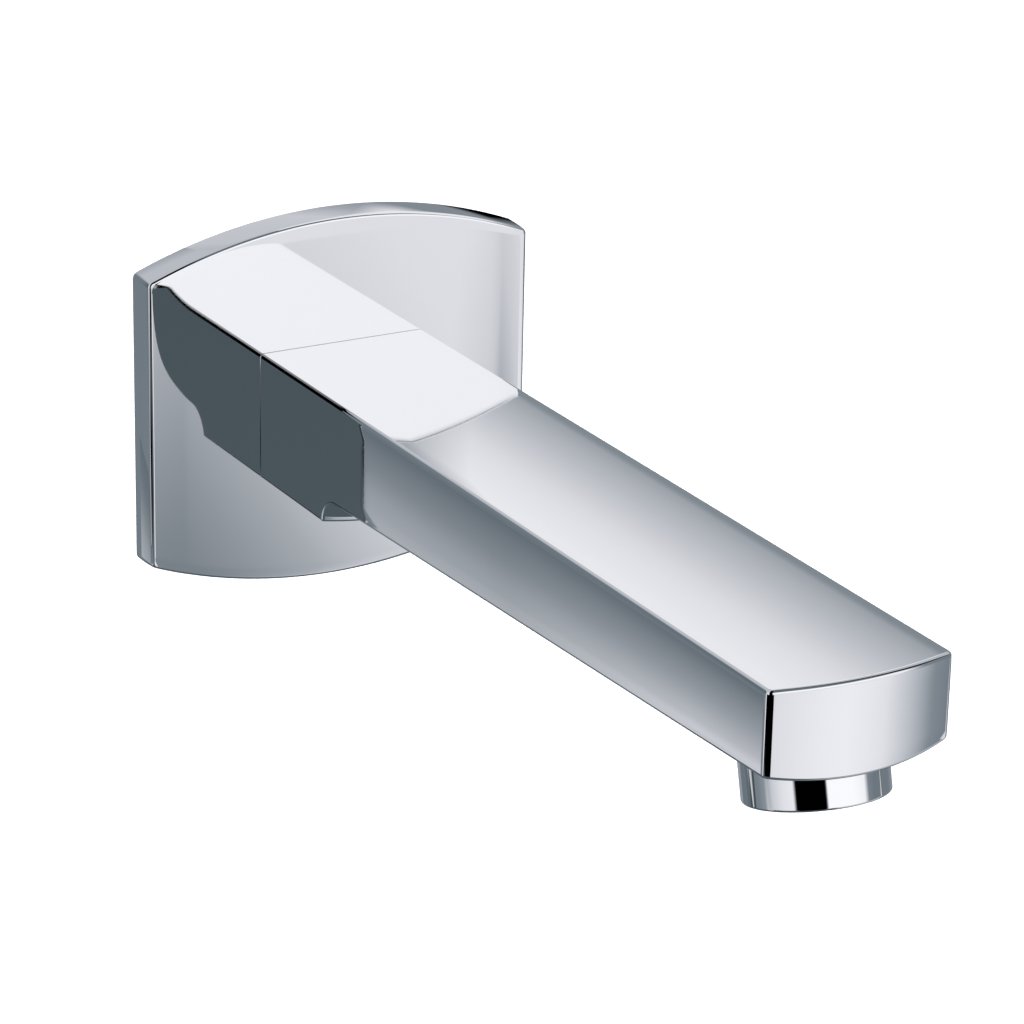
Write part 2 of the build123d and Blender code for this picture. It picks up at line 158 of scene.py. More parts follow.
def finished(name, shape):
    """Closes a mesh's seams, turns its faces outwards and makes an object of it."""
    bmesh.ops.remove_doubles(shape, verts=shape.verts, dist=SEAM)
    bmesh.ops.recalc_face_normals(shape, faces=shape.faces)
    loose = [edge for edge in shape.edges if not edge.link_faces]
    bmesh.ops.delete(shape, geom=loose, context="EDGES")
    mesh = bpy.data.meshes.new(name)
    shape.to_mesh(mesh)
    shape.free()
    return added(name, mesh)


def settle(made):
    """Turns a piece with live modifiers into a plain mesh."""
    bpy.context.view_layer.update()
    ready = made.evaluated_get(bpy.context.evaluated_depsgraph_get())
    mesh = bpy.data.meshes.new_from_object(ready)
    made.modifiers.clear()
    made.data = mesh


def combine(made, tool, operation="DIFFERENCE"):
    """Cuts a tool out of a piece, joins it on or keeps what both share. The tool is used up."""
    modifier = made.modifiers.new("combine", "BOOLEAN")
    modifier.operation = operation
    modifier.solver = "EXACT"
    modifier.object = tool
    settle(made)
    bpy.data.objects.remove(tool)


def dress(made, material, node, crease=30):
    """Smooths a piece, gives it its finish and lets it stand for a node of the frame."""
    made.data.shade_smooth()
    made.data.set_sharp_from_angle(angle=radians(crease))
    made.data.materials.clear()
    made.data.materials.append(material)
    made.data.polygons.foreach_set("material_index", [0] * len(made.data.polygons))
    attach(made, "root")
    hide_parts(node)


def line_z(y):
    """Height of the straight underside on the centre line."""
    return TOP_Z - ROOT_DEPTH + (FACE_Y - y) * UNDER_SLOPE


def underside():
    """Points (y, z) and outward normals of the underside on the centre line, wall to tip."""
    boss_z = TOP_Z - BOSS_DEPTH
    centre_y = FACE_Y - BOSS_LENGTH - BOSS_BLEND
    centre_z = line_z(centre_y) - BOSS_BLEND * sqrt(1 + UNDER_SLOPE**2)
    toe_z = boss_z + UNDER_EDGE_RADIUS
    toe_y = centre_y + sqrt((BOSS_BLEND + UNDER_EDGE_RADIUS) ** 2 - (toe_z - centre_z) ** 2)
    first = atan2(toe_z - centre_z, toe_y - centre_y)
    last = pi / 2 - atan2(UNDER_SLOPE, 1)
    points = [((y, boss_z), (0, -1)) for y in (FACE_Y, toe_y + HOLD, toe_y)]
    for angle in steps(ARC_STEPS, -pi / 2, first - pi)[1:]:
        normal = cos(angle), sin(angle)
        place = toe_y + UNDER_EDGE_RADIUS * normal[0], toe_z + UNDER_EDGE_RADIUS * normal[1]
        points.append((place, normal))
    for angle in steps(3 * ARC_STEPS, first, last)[1:]:
        place = centre_y + BOSS_BLEND * cos(angle), centre_z + BOSS_BLEND * sin(angle)
        points.append((place, (-cos(angle), -sin(angle))))
    return points


def plan_tip():
    """Left half of the tip seen from above: points of the outline and outward normals."""
    bow_radius = (HALF_WIDTH**2 + TIP_BULGE**2) / (2 * TIP_BULGE)
    bow_y = TIP_Y - TIP_BULGE + bow_radius
    corner_x = CORNER_RADIUS - HALF_WIDTH
    corner_y = bow_y - sqrt((bow_radius - CORNER_RADIUS) ** 2 - corner_x**2)
    turn = atan2(-corner_x, bow_y - corner_y)
    rows = []
    for centre, radius, angles in (
        ((corner_x, corner_y, 0), CORNER_RADIUS, steps(ARC_STEPS, pi / 2, turn)),
        ((0, bow_y, 0), bow_radius, [turn - HOLD / bow_radius] + steps(BOW_STEPS, turn, 0)[1:]),
    ):
        for angle in angles:
            normal = Vector((-sin(angle), -cos(angle), 0))
            rows.append((Vector(centre) + radius * normal, normal))
    return rows


def arch_point(radius, angle, y):
    """A point of the arched underside, at an angle from the middle."""
    return Vector((radius * sin(angle), y, ARCH_Z - radius * cos(angle)))


def fade(distance):
    """How far a face has fallen away at a distance from its edge."""
    return FADE_DROP * max(1 - distance / FADE, 0) ** 2


def section(wall_point, wall_normal, under_point, under_normal):
    """One closed loop round the arm: rounded top edges, walls, rounded lower edges, arch."""
    under_y, under_z = under_point
    radius = ARCH_Z - under_z
    wall_point = wall_point - FADE_DROP * wall_normal
    ball_x = wall_point.x - UNDER_EDGE_RADIUS * wall_normal.x
    ball_radius = radius + UNDER_EDGE_RADIUS * under_normal[1]
    angle = asin(min(ball_x, 0) / ball_radius)
    ball_y = under_y - UNDER_EDGE_RADIUS * under_normal[0] - FADE_DROP * wall_normal.y
    ball = arch_point(ball_radius, angle, ball_y)
    down = Vector((-under_normal[1] * sin(angle), under_normal[0], under_normal[1] * cos(angle)))
    edge = wall_point - EDGE_RADIUS * wall_normal
    side = HALF_WIDTH - EDGE_RADIUS
    edge.z = TOP_Z - EDGE_RADIUS - fade(side + edge.x)
    up = Vector((0, 0, 1))
    turns = steps(ARC_STEPS, TURN_GAP, 1 - TURN_GAP)
    left = [edge + EDGE_RADIUS * up.slerp(wall_normal, k) for k in turns]
    turns = steps(ARC_STEPS, TURN_GAP)
    foot = [ball + UNDER_EDGE_RADIUS * wall_normal.slerp(down, k) for k in turns]
    depths = steps(FADE_STEPS, 0, FADE)[1:]
    falls = [(depth * up, (FADE_DROP - fade(depth)) * wall_normal) for depth in depths]
    wall = [left[-1] - depth + fall for depth, fall in falls]
    wall += [foot[0] + depth + fall for depth, fall in reversed(falls)]
    left += [left[-1] - HOLD * up] + wall + [foot[0] + HOLD * up] + foot
    right = [Vector((-p.x, p.y, p.z)) for p in reversed(left)]
    end_angle = asin(min(foot[-1].x, 0) / radius)
    bottom = [arch_point(radius, a, foot[-1].y) for a in steps(ACROSS, end_angle, -end_angle)]
    start = left[0].x
    reach = min(FADE, -start * FADE_REACH)
    depths = steps(FADE_STEPS, 0, reach)[1:]
    half = [start + min(HOLD, depths[0] / 2)] + [start + depth for depth in depths]
    half += [start + reach + (-start - reach) * k / 4 for k in (1, 2, 3)]
    top = [Vector((x, left[0].y, TOP_Z - fade(side + x))) for x in half]
    other_half = [Vector((-p.x, p.y, p.z)) for p in reversed(top)]
    top += [Vector((0, left[0].y, TOP_Z - fade(side)))] + other_half
    return left + bottom[1:-1] + right + top[::-1]


def drawn_in(loop, inset, y):
    """A section moved inwards all round, at another place along the arm."""
    moved = []
    for k, point in enumerate(loop):
        along = loop[(k + 1) % len(loop)] - loop[k - 1]
        inwards = Vector((along.z, 0, -along.x)).normalized()
        if inwards.dot(Vector((0, 0, TOP_Z - BOSS_DEPTH / 2)) - point) < 0:
            inwards = -inwards
        moved.append(Vector((point.x + inset * inwards.x, y, point.z + inset * inwards.z)))
    return moved


def spout_loops():
    """Sections from the shoulder at the cover plate to the middle of the tip."""
    wall = Vector((-1, 0, 0))
    tip = plan_tip()
    norm = sqrt(1 + UNDER_SLOPE**2)
    down = -UNDER_SLOPE / norm, -1 / norm
    loops = []
    for (y, z), normal in underside():
        ball_y = y - UNDER_EDGE_RADIUS * normal[0]
        loops.append(section(Vector((-HALF_WIDTH, ball_y, 0)), wall, (y, z), normal))
    shoulder = []
    for angle in steps(4, 0, pi / 2):
        inset = SHOULDER_ROUND * (1 - sin(angle))
        shoulder.append(drawn_in(loops[0], inset, FACE_Y - SHOULDER_ROUND * (1 - cos(angle))))
    loops[0] = drawn_in(loops[0], 0, FACE_Y - SHOULDER_ROUND - HOLD)
    loops = shoulder + loops
    start_y = loops[-1][0].y
    for y in steps(6, start_y, tip[0][0].y + HOLD)[1:]:
        contact_y = y + UNDER_EDGE_RADIUS * down[0]
        loops.append(section(Vector((-HALF_WIDTH, y, 0)), wall, (contact_y, line_z(contact_y)), down))
    for point, normal in tip:
        contact_y = point.y - UNDER_EDGE_RADIUS * normal.y + UNDER_EDGE_RADIUS * down[0]
        loops.append(section(point, normal, (contact_y, line_z(contact_y)), down))
    return loops


class Wire:
    """One output of a node. Sums, products and powers of it add Math nodes to its tree."""

    def __init__(self, tree, socket=None):
        self.tree = tree
        self.socket = socket

    def node(self, kind, settings=None, output=0, **sockets):
        """Adds a node. In the name of a socket, an underscore stands for a space."""
        made = self.tree.nodes.new(kind)
        for name, value in (settings or {}).items():
            if name == "stops":
                ramp = made.color_ramp.elements
                while len(ramp) < len(value):
                    ramp.new(1.0)
                for element, (place, colour) in zip(ramp, value):
                    element.position = place
                    element.color = colour
            else:
                setattr(made, name, value)
        for name, value in sockets.items():
            self.fill(made.inputs[name.replace("_", " ")], value)
        return Wire(self.tree, made.outputs[output] if made.outputs else None)

    def fill(self, socket, value):
        """Gives a socket a value or a link."""
        if isinstance(value, Wire):
            self.tree.links.new(value.socket, socket)
        else:
            socket.default_value = value

    def math(self, operation, *others, clamp=False):
        """The value that a Math node makes of this one and others."""
        made = self.node("ShaderNodeMath", {"operation": operation, "use_clamp": clamp})
        for socket, value in zip(made.socket.node.inputs, (self, *others)):
            self.fill(socket, value)
        return made

    def __add__(self, other):
        return self.math("ADD", other)

    def __mul__(self, other):
        return self.math("MULTIPLY", other)

    def __sub__(self, other):
        return self.math("SUBTRACT", other)

    def __rsub__(self, other):
        return (self * -1).math("ADD", other)

    def __truediv__(self, other):
        return self.math("DIVIDE", other)

    __radd__ = __add__

    def clamped(self):
        """The value kept between 0 and 1."""
        return self.math("ADD", 0.0, clamp=True)

    def blend(self, low, high):
        """A colour between two others, with this value as the share of the second."""
        made = self.node("ShaderNodeMix", {"data_type": "RGBA"}, 2)
        for k, value in ((0, self), (6, low), (7, high)):
            self.fill(made.socket.node.inputs[k], value)
        return made

    def split(self):
        """The X, Y and Z of a vector."""
        return [self.node("ShaderNodeSeparateXYZ", None, k, Vector=self) for k in range(3)]


def new_material(name):
    """A material with an empty tree, and the object's own coordinates to start from."""
    material = bpy.data.materials.new(name)
    material.use_nodes = True
    material.node_tree.nodes.clear()
    return material, Wire(material.node_tree).node("ShaderNodeTexCoord", None, "Object")


def finish_material(material, colour, rough, grain=None, height=0.0, metallic=0.0):
    """Ends a material's tree in one Principled shader, where wanted over a grain of a height."""
    sockets = {"Base_Color": colour, "Roughness": rough, "Metallic": metallic}
    start = Wire(material.node_tree)
    if grain:
        sockets["Normal"] = start.node("ShaderNodeBump", Height=grain, Distance=height)
    shader = start.node("ShaderNodeBsdfPrincipled", **sockets)
    start.node("ShaderNodeOutputMaterial", {"is_active_output": True}, Surface=shader)
    return material


def noise(place, scale, detail=2.0, roughness=0.5, squash=(1.0, 1.0, 1.0)):
    """Noise of a size per metre, drawn out along the axes whose squash is small."""
    stretched = place.node("ShaderNodeMapping", Vector=place, Scale=squash)
    sizes = {"Scale": scale, "Detail": detail, "Roughness": roughness}
    return place.node("ShaderNodeTexNoise", Vector=stretched, **sizes)


def chrome(name, grain_axis):
    """Polished chrome: almost a mirror, with the faint waviness and fine lines of the buffing."""
    material, place = new_material(name)
    squash = [1.0, 1.0, 1.0]
    squash[grain_axis] = LINE_SQUASH
    waves = noise(place, WAVE_SCALE, 1.0)
    lines = noise(place, LINE_SCALE, 3.0, 0.6, squash)
    film = noise(place, FILM_SCALE, 4.0, 0.65)
    tint = film.blend((0.885, 0.89, 0.9, 1.0), (0.905, 0.91, 0.915, 1.0))
    rough = 0.018 + film * 0.02 + (lines - 0.45).clamped() * 0.05
    return finish_material(material, tint, rough, waves + lines * LINE_SHARE, WAVE_HEIGHT, 1.0)


def rod(name, radius, start, end, steps_round=ROUND_STEPS):
    """A plain round rod between two points."""
    axis = (end - start).normalized()
    turn = axis.to_track_quat("Z", "Y").to_matrix()
    around = [2 * pi * k / steps_round for k in range(steps_round)]
    ring = [radius * (turn @ Vector((cos(a), sin(a), 0))) for a in around]
    return skin(name, [[end_point + p for p in ring] for end_point in (start, end)])


def neck_loop(offset, y):
    """Outline of the neck, a rectangle with round corners, moved outwards by an offset."""
    radius = NECK_CORNER + offset
    right, top, bottom = NECK_HALF_WIDTH + offset, NECK_TOP + offset, NECK_BOTTOM - offset
    points = []
    corners = (right, top), (-right, top), (-right, bottom), (right, bottom)
    for quarter, (x, z) in enumerate(corners):
        centre_x = x - radius if x > 0 else x + radius
        centre_z = z - radius if z > 0 else z + radius
        for angle in steps(ARC_STEPS, quarter * pi / 2, (quarter + 1) * pi / 2):
            x, z = centre_x + radius * cos(angle), centre_z + radius * sin(angle)
            points.append(Vector((x, y, z)))
    return points


def along_outlet(height):
    """A point on the outlet's axis, above the collar's lower rim."""
    return OUTLET_PLACE + OUTLET_AXIS * height


def waterway():
    """The hollow behind the socket, with a pad left round the collar's seat."""
    half = HALF_WIDTH - WALL
    wall_z = WALL * sqrt(1 + UNDER_SLOPE**2)
    loops = []
    for y, x in ((WATERWAY_START, half), (TIP_Y + WALL, half), (TIP_Y + WALL - TIP_BULGE, half / 2)):
        radius = ARCH_Z - line_z(y) - wall_z
        end_angle = asin(x / radius)
        floor = [arch_point(radius, a, y) for a in steps(ACROSS, -end_angle, end_angle)]
        loops.append(floor + [Vector((x, y, TOP_Z - TOP_WALL)), Vector((-x, y, TOP_Z - TOP_WALL))])
    hollow = skin("hollow", loops)
    combine(hollow, rod("pad", PAD_RADIUS, along_outlet(0), along_outlet(SPIGOT_HEIGHT)))
    return hollow


spout = skin("spout_shell", spout_loops(), caps=(0,))
combine(spout, skin("neck", [neck_loop(0, y) for y in (FACE_Y - MM, NECK_BACK)]), "UNION")
combine(spout, waterway())
wall_axis = Vector((0, 1, 0))
combine(spout, rod("socket", SOCKET_RADIUS, wall_axis * SOCKET_END, wall_axis * (NECK_BACK + MM)))
throat_end = wall_axis * (WATERWAY_START - MM)
combine(spout, rod("throat", SOCKET_RADIUS - WALL, throat_end, wall_axis * (SOCKET_END + MM)))
combine(spout, rod("ring_hole", RING_HOLE, along_outlet(-MM), along_outlet(SHOULDER_HEIGHT), 192))
spigot_ends = along_outlet(SHOULDER_HEIGHT - MM), along_outlet(SPIGOT_HEIGHT + MM)
combine(spout, rod("spigot_hole", SPIGOT_HOLE, *spigot_ends))
screw_ends = Vector((0, SCREW_Y, -HALF_WIDTH * 2)), Vector((0, SCREW_Y, -SOCKET_RADIUS / 2))
combine(spout, rod("screw_hole", SCREW_HOLE, *screw_ends, 64))
dress(spout, chrome("polished_casting", 1), "spout_body")

# Wall flange
# The cover plate hides the hole in the wall. It is a zinc die casting with a hollow back, pulled
# over the neck of the spout, and its front falls away towards the rim, where it was polished.

FLANGE_HALF_WIDTH = flange_high.x
FLANGE_TOP = flange_high.z
FLANGE_RISE = 9.6 * MM
FLANGE_CORNER = 1.8 * MM
FLANGE_EDGE = 0.8 * MM
FACE_WALL = 2.4 * MM
RIM_WALL = 2.2 * MM
GASKET_WIDTH = 5.0 * MM
GASKET_DEPTH = 3.0 * MM
NECK_PLAY = 0.15 * MM
SIDE_ROLL = 10.0 * MM  # widths of the margins that fall away towards the rim
ARC_ROLL = 3.4 * MM
ROLL_SLOPE = 0.1  # slope of a margin near the rim
ROLL_PLACE = 1.3 * MM  # distance from the rim where the slope is so much
ROLL_POWER = 0.6  # power of the distance by which the slope falls off
RIM_CONVEX = 0.35 * MM  # how far the rim's front lies inside its back
FRONT_LEAN = 0.1  # angle at which the front goes over into its edge
BACK_EDGE = 0.2 * MM
LEAST_CORNER = 0.3 * MM
CORNER_GROWTH = 0.7  # growth of the corners' radius towards the middle
MARGIN_STEPS = 20
MARGIN_POWER = 1.6  # power that crowds the loops of a margin near the rim
FLANGE_ARC = (FLANGE_HALF_WIDTH**2 + FLANGE_RISE**2) / (2 * FLANGE_RISE)
CORNER_STEPS = 10
FLANGE_ARC_STEPS = 32


def flange_loop(inset, y, corner=None):
    """Outline of the plate, moved inwards: straight sides, arcs above and below, round corners."""
    corner = corner or max(FLANGE_CORNER - inset, LEAST_CORNER)
    side = FLANGE_HALF_WIDTH - inset
    radius = FLANGE_ARC - inset
    centre_z = FLANGE_TOP - FLANGE_ARC
    corner_x = side - corner
    corner_z = centre_z + sqrt((radius - corner) ** 2 - corner_x**2)
    turn = atan2(corner_x, corner_z - centre_z)
    quarter = [(side, 0), (side, corner_z - HOLD)]
    for angle in steps(CORNER_STEPS, pi / 2, turn):
        quarter.append((corner_x + corner * sin(angle), corner_z + corner * cos(angle)))
    for angle in [turn - HOLD / radius] + steps(FLANGE_ARC_STEPS, turn, 0)[1:]:
        quarter.append((radius * sin(angle), centre_z + radius * cos(angle)))
    upper = quarter + [(-x, z) for x, z in reversed(quarter[:-1])]
    lower = [(x, -z) for x, z in reversed(upper[1:-1])]
    return [Vector((x, y, z)) for x, z in upper + lower]


def roll_drop(distance, width):
    """How far the front has fallen at a distance from the rim. Its slope grows to the rim."""
    distance = min(distance, width)
    one, two = 1 - ROLL_POWER, 2 - ROLL_POWER
    ends = [at**one / one - at**two / (two * width) for at in (distance, width)]
    return ROLL_SLOPE * ROLL_PLACE**ROLL_POWER * (ends[1] - ends[0])


def front_drop(point):
    """The drop of the front at one point, from its distances to the straight side and the arc."""
    to_side = FLANGE_HALF_WIDTH - abs(point.x)
    to_arc = FLANGE_ARC - hypot(point.x, abs(point.z) - FLANGE_TOP + FLANGE_ARC)
    least = RIM_CONVEX + FLANGE_EDGE
    return roll_drop(max(to_side, least), SIDE_ROLL) + roll_drop(max(to_arc, least), ARC_ROLL)


def flange_loops():
    """Loops from the middle of the front, over the rim and round the hollow back."""
    edge_inset = RIM_CONVEX + FLANGE_EDGE
    loops = []
    for share in reversed(steps(MARGIN_STEPS)):
        inset = edge_inset + (SIDE_ROLL - edge_inset) * share**MARGIN_POWER
        loop = flange_loop(inset, FACE_Y, FLANGE_CORNER + CORNER_GROWTH * inset)
        loops.append([point + Vector((0, front_drop(point), 0)) for point in loop])
    drops = [point.y - FACE_Y for point in loops[-1]]
    for angle in steps(ARC_STEPS, FRONT_LEAN, pi / 2 - 2 * RIM_CONVEX / -FACE_Y)[1:]:
        inset = edge_inset - FLANGE_EDGE * sin(angle)
        loop = flange_loop(inset, FACE_Y + FLANGE_EDGE * (1 - cos(angle)))
        loops.append([point + Vector((0, drop, 0)) for point, drop in zip(loop, drops)])
    edge = loops[-1]
    for share in steps(12)[1:]:
        outline = flange_loop(RIM_CONVEX * (1 - share) ** 2, -BACK_EDGE - HOLD)
        loops.append([Vector((p.x, e.y + (p.y - e.y) * share, p.z)) for e, p in zip(edge, outline)])
    hollow = RIM_WALL + GASKET_WIDTH
    lip = [(0, -BACK_EDGE), (BACK_EDGE, 0), (RIM_WALL, 0), (RIM_WALL, -GASKET_DEPTH)]
    for inset, y in lip + [(hollow, -GASKET_DEPTH), (hollow, FACE_Y + FACE_WALL)]:
        loops.append(flange_loop(inset, y))
    return loops


flange = skin("cover_plate", flange_loops())
combine(flange, skin("opening", [neck_loop(NECK_PLAY, y) for y in (FACE_Y - MM, MM)]))
dress(flange, chrome("polished_plate", 0), "wall_flange")

# Outlet collar
# A plain turned brass ring, chromed, screwed into the underside of the tip. Its lower end is
# recessed for the rim of the aerator.

RING_RADIUS = 14.7 * MM
RING_EDGE = 0.5 * MM
SPIGOT_RADIUS = 13.0 * MM
GROOVE_LOW = 15.0 * MM
GROOVE_HIGH = 17.0 * MM
GROOVE_RADIUS = 11.8 * MM
RIM_RECESS_RADIUS = 13.2 * MM
RIM_RECESS = 2.2 * MM
SEAT_HEIGHT = 11.0 * MM
SEAT_BORE = 9.4 * MM
AERATOR_THREAD = 12.0 * MM
SMALL_EDGE = 0.15 * MM
PLAY = 0.02 * MM
OUTLET_STEPS = 160
OUTLET_FRAME = Matrix.Translation(OUTLET_PLACE) @ Matrix.Rotation(-OUTLET_TILT, 4, "X")
WALL_FRAME = Matrix.Rotation(pi / 2, 4, "X")  # heights along -Y, out of the wall


def rounded(corners):
    """A closed outline of (radius, height) corners, with arcs where a third number rounds them."""
    outline = []
    count = len(corners)
    for k, (x, y, *rounding) in enumerate(corners):
        here = Vector((x, y))
        if not rounding:
            outline.append(here)
            continue
        rounding = rounding[0]
        before = (Vector(corners[k - 1][:2]) - here).normalized()
        after = (Vector(corners[(k + 1) % count][:2]) - here).normalized()
        half = before.angle(after) / 2
        centre = here + (before + after).normalized() * rounding / sin(half)
        first = (here + before * rounding / tan(half) - centre).normalized()
        last = (here + after * rounding / tan(half) - centre).normalized()
        outline.append(centre + first * rounding + before * PLAY)
        outline += [centre + first.slerp(last, share) * rounding for share in steps(4)]
        outline.append(centre + last * rounding + after * PLAY)
    return outline


def turned(name, corners, place=OUTLET_FRAME, steps_round=ROUND_STEPS):
    """A piece turned on a lathe: a closed outline of (radius, height) revolved about an axis."""
    angles = [2 * pi * k / steps_round for k in range(steps_round)]
    loops = []
    for radius, height in rounded(corners):
        loops.append([place @ Vector((radius * cos(a), radius * sin(a), height)) for a in angles])
    return skin(name, loops, caps=())


collar = turned(
    "outlet_ring",
    [
        (RIM_RECESS_RADIUS, 0, SMALL_EDGE),
        (RING_RADIUS, 0, RING_EDGE),
        (RING_RADIUS, SHOULDER_HEIGHT),
        (SPIGOT_RADIUS, SHOULDER_HEIGHT),
        (SPIGOT_RADIUS, GROOVE_LOW),
        (GROOVE_RADIUS, GROOVE_LOW),
        (GROOVE_RADIUS, GROOVE_HIGH),
        (SPIGOT_RADIUS, GROOVE_HIGH),
        (SPIGOT_RADIUS, SPIGOT_HEIGHT, SMALL_EDGE),
        (SEAT_BORE, SPIGOT_HEIGHT),
        (SEAT_BORE, SEAT_HEIGHT),
        (AERATOR_THREAD, SEAT_HEIGHT),
        (AERATOR_THREAD, RIM_RECESS),
        (RIM_RECESS_RADIUS, RIM_RECESS),
    ],
    OUTLET_FRAME,
    OUTLET_STEPS,
)
dress(collar, chrome("polished_ring", 0), "outlet_collar")

# Flange gasket
# A frame of closed-cell foam in the rebate of the plate's back. It seals against the tiles and is
# die-cut and glued in.

CLOUD_SCALE = 90.0
CELL_SCALE = 1400.0
CELL_HEIGHT = 0.15 * MM
SQUEEZED = 0.35 * MM  # size of the edges' rounding under the pressure of the tiles


def dull(name, dark, light, roughness, grain, height):
    """A material without gloss: two shades that blend in clouds, over a fine grain."""
    material, place = new_material(name)
    clouds = noise(place, CLOUD_SCALE, 4.0, 0.6)
    fine = grain(place)
    shades = clouds.blend((*dark, 1.0), (*light, 1.0))
    rough = roughness + (clouds - 0.5) * 0.12 + (fine - 0.5) * 0.1
    return finish_material(material, shades, rough, fine, height)


def foam_cells(place):
    return place.node("ShaderNodeTexVoronoi", Vector=place, Scale=CELL_SCALE)


outer = RIM_WALL + PLAY
inner = RIM_WALL + GASKET_WIDTH
frame_corners = [
    (outer, -SQUEEZED),
    (outer, -GASKET_DEPTH),
    (inner, -GASKET_DEPTH),
    (inner, -SQUEEZED),
    (inner - SQUEEZED / 2, -SQUEEZED / 4),
    (inner - SQUEEZED, 0),
    (outer + SQUEEZED, 0),
    (outer + SQUEEZED / 2, -SQUEEZED / 4),
]
gasket = skin("foam_frame", [flange_loop(inset, y) for inset, y in frame_corners], caps=())
shades = (0.1, 0.1, 0.105), (0.15, 0.15, 0.155)
foam = dull("closed_cell_foam", *shades, 0.88, foam_cells, CELL_HEIGHT)
dress(gasket, foam, "flange_gasket", 50)

# Neck seal ring
# A moulded rubber ring that is pushed over the spout's neck from behind. It clamps the plate
# against the shoulder of the arm.

RING_WIDTH = 2.4 * MM
RING_FRONT = FACE_Y + FACE_WALL
RING_LIP = 0.3 * MM
FINE_SCALE = 5200.0


def fine_grain(place, squash=(1.0, 1.0, 1.0)):
    """The grain of rubber, and that of turned metal where it is squashed to rings."""
    return noise(place, FINE_SCALE, 3.0, 0.7, squash)


seal_loops = []
for offset_corner, y_corner, start_angle in (
    (RING_WIDTH - RING_LIP, RING_FRONT + RING_LIP, -pi / 2),
    (RING_WIDTH - RING_LIP, NECK_BACK - RING_LIP, 0),
):
    for angle in steps(4, start_angle, start_angle + pi / 2):
        offset = offset_corner + RING_LIP * cos(angle)
        seal_loops.append(neck_loop(offset, y_corner + RING_LIP * sin(angle)))
seal_loops += [neck_loop(PLAY, NECK_BACK), neck_loop(PLAY, RING_FRONT)]
neck_ring = skin("neck_ring", seal_loops, caps=())
rubber = dull("black_rubber", (0.028, 0.028, 0.03), (0.048, 0.048, 0.05), 0.55, fine_grain, PLAY)
dress(neck_ring, rubber, "neck_seal_ring", 50)

# Connection nipple
# Turned from brass bar. A G 1/2 thread goes into the wall outlet, a collar presses the washer, and
# the plug with two O-rings goes into the foot. It is screwed in with a hexagon key from the front.

THREAD_RADIUS = 10.46 * MM
THREAD_ROOT = 9.3 * MM
THREAD_PITCH = 1.814 * MM
THREAD_LENGTH = 15.0 * MM
THREAD_ENDS = -14.15 * MM, -0.85 * MM  # first and last height of the thread's ridge
RIDGE_FOOT = 0.86  # widths of a thread's ridge, as shares of its pitch
RIDGE_CREST = 0.14
RIDGE_SUNK = 0.1 * MM  # how deep a ridge begins below the root of its thread
RUN_OUT = 3  # a thread dies out within one turn divided by this
LEAST_RIDGE = 0.05  # least size of a ridge at its ends
STAIN_SCALE = 130.0
TOOL_MARKS = 0.01 * MM  # height of the rings left by the turning tool
FINE_EDGE = 0.1 * MM
SOFT_EDGE = 0.2 * MM
WIDE_EDGE = 0.4 * MM
COLLAR_RADIUS = 12.0 * MM
COLLAR_BACK = 1.5 * MM  # front of the washer, from the wall
COLLAR_FRONT = 4.3 * MM
PLUG_RADIUS = 10.2 * MM
PLUG_END = 35.0 * MM
NIPPLE_BORE = 6.2 * MM
KEY_HALF = 6.5 * MM  # from the axis to a flat of the hexagon
KEY_DEPTH = 12.0 * MM
V_GROOVE = 1.5 * MM
O_RING_PLACES = {"front": 30.5 * MM, "rear": 24.0 * MM}
O_RING_GROOVE = 8.3 * MM
O_RING_HALF_GROOVE = 1.3 * MM


def grow(name, build, place, **sizes):
    """A mesh grown by a Geometry Nodes tree, whose inputs are the named sizes, put in its place."""
    tree = bpy.data.node_groups.new(name, "GeometryNodeTree")
    tree.interface.new_socket("Geometry", in_out="OUTPUT", socket_type="NodeSocketGeometry")
    for size in sizes:
        tree.interface.new_socket(size, in_out="INPUT", socket_type="NodeSocketFloat")
    entry = tree.nodes.new("NodeGroupInput")
    shape = build(Wire(tree), **{size: Wire(tree, entry.outputs[size]) for size in sizes})
    real = shape.node("GeometryNodeRealizeInstances", Geometry=shape)
    real.node("NodeGroupOutput", Geometry=real)
    made = added(name, bpy.data.meshes.new(name))
    modifier = made.modifiers.new("grow", "NODES")
    modifier.node_group = tree
    for item in tree.interface.items_tree:
        if item.in_out == "INPUT":
            modifier[item.identifier] = sizes[item.name]
    settle(made)
    made.data.transform(place)
    return made


def thread(start, root, crest, pitch, turns):
    """The ridge of a screw thread that dies out at both ends."""
    middle = (root + crest) * 0.5
    radii = {"Start_Radius": middle, "End_Radius": middle}
    sizes = {"Resolution": 64, "Rotations": turns, "Height": turns * pitch}
    helix = start.node("GeometryNodeCurveSpiral", **sizes, **radii)
    helix = helix.node("GeometryNodeSetCurveNormal", {"mode": "Z_UP"}, Curve=helix)
    along = start.node("GeometryNodeSplineParameter")
    to_end = along.math("MINIMUM", 1 - along) * turns * RUN_OUT
    swell = to_end.math("MINIMUM", 1.0).math("MAXIMUM", LEAST_RIDGE)
    helix = helix.node("GeometryNodeSetCurveRadius", Curve=helix, Radius=swell)
    widths = {"Bottom_Width": pitch * RIDGE_FOOT, "Top_Width": pitch * RIDGE_CREST}
    shape = {"Height": crest - root, "Offset": 0.0, **widths}
    mode = {"mode": "TRAPEZOID"}
    profile = start.node("GeometryNodeCurvePrimitiveQuadrilateral", mode, **shape)
    upright = (0, 0, pi / 2)
    profile = profile.node("GeometryNodeTransform", Geometry=profile, Rotation=upright)
    sweep = {"Profile_Curve": profile, "Fill_Caps": True}
    return helix.node("GeometryNodeCurveToMesh", Curve=helix, **sweep)


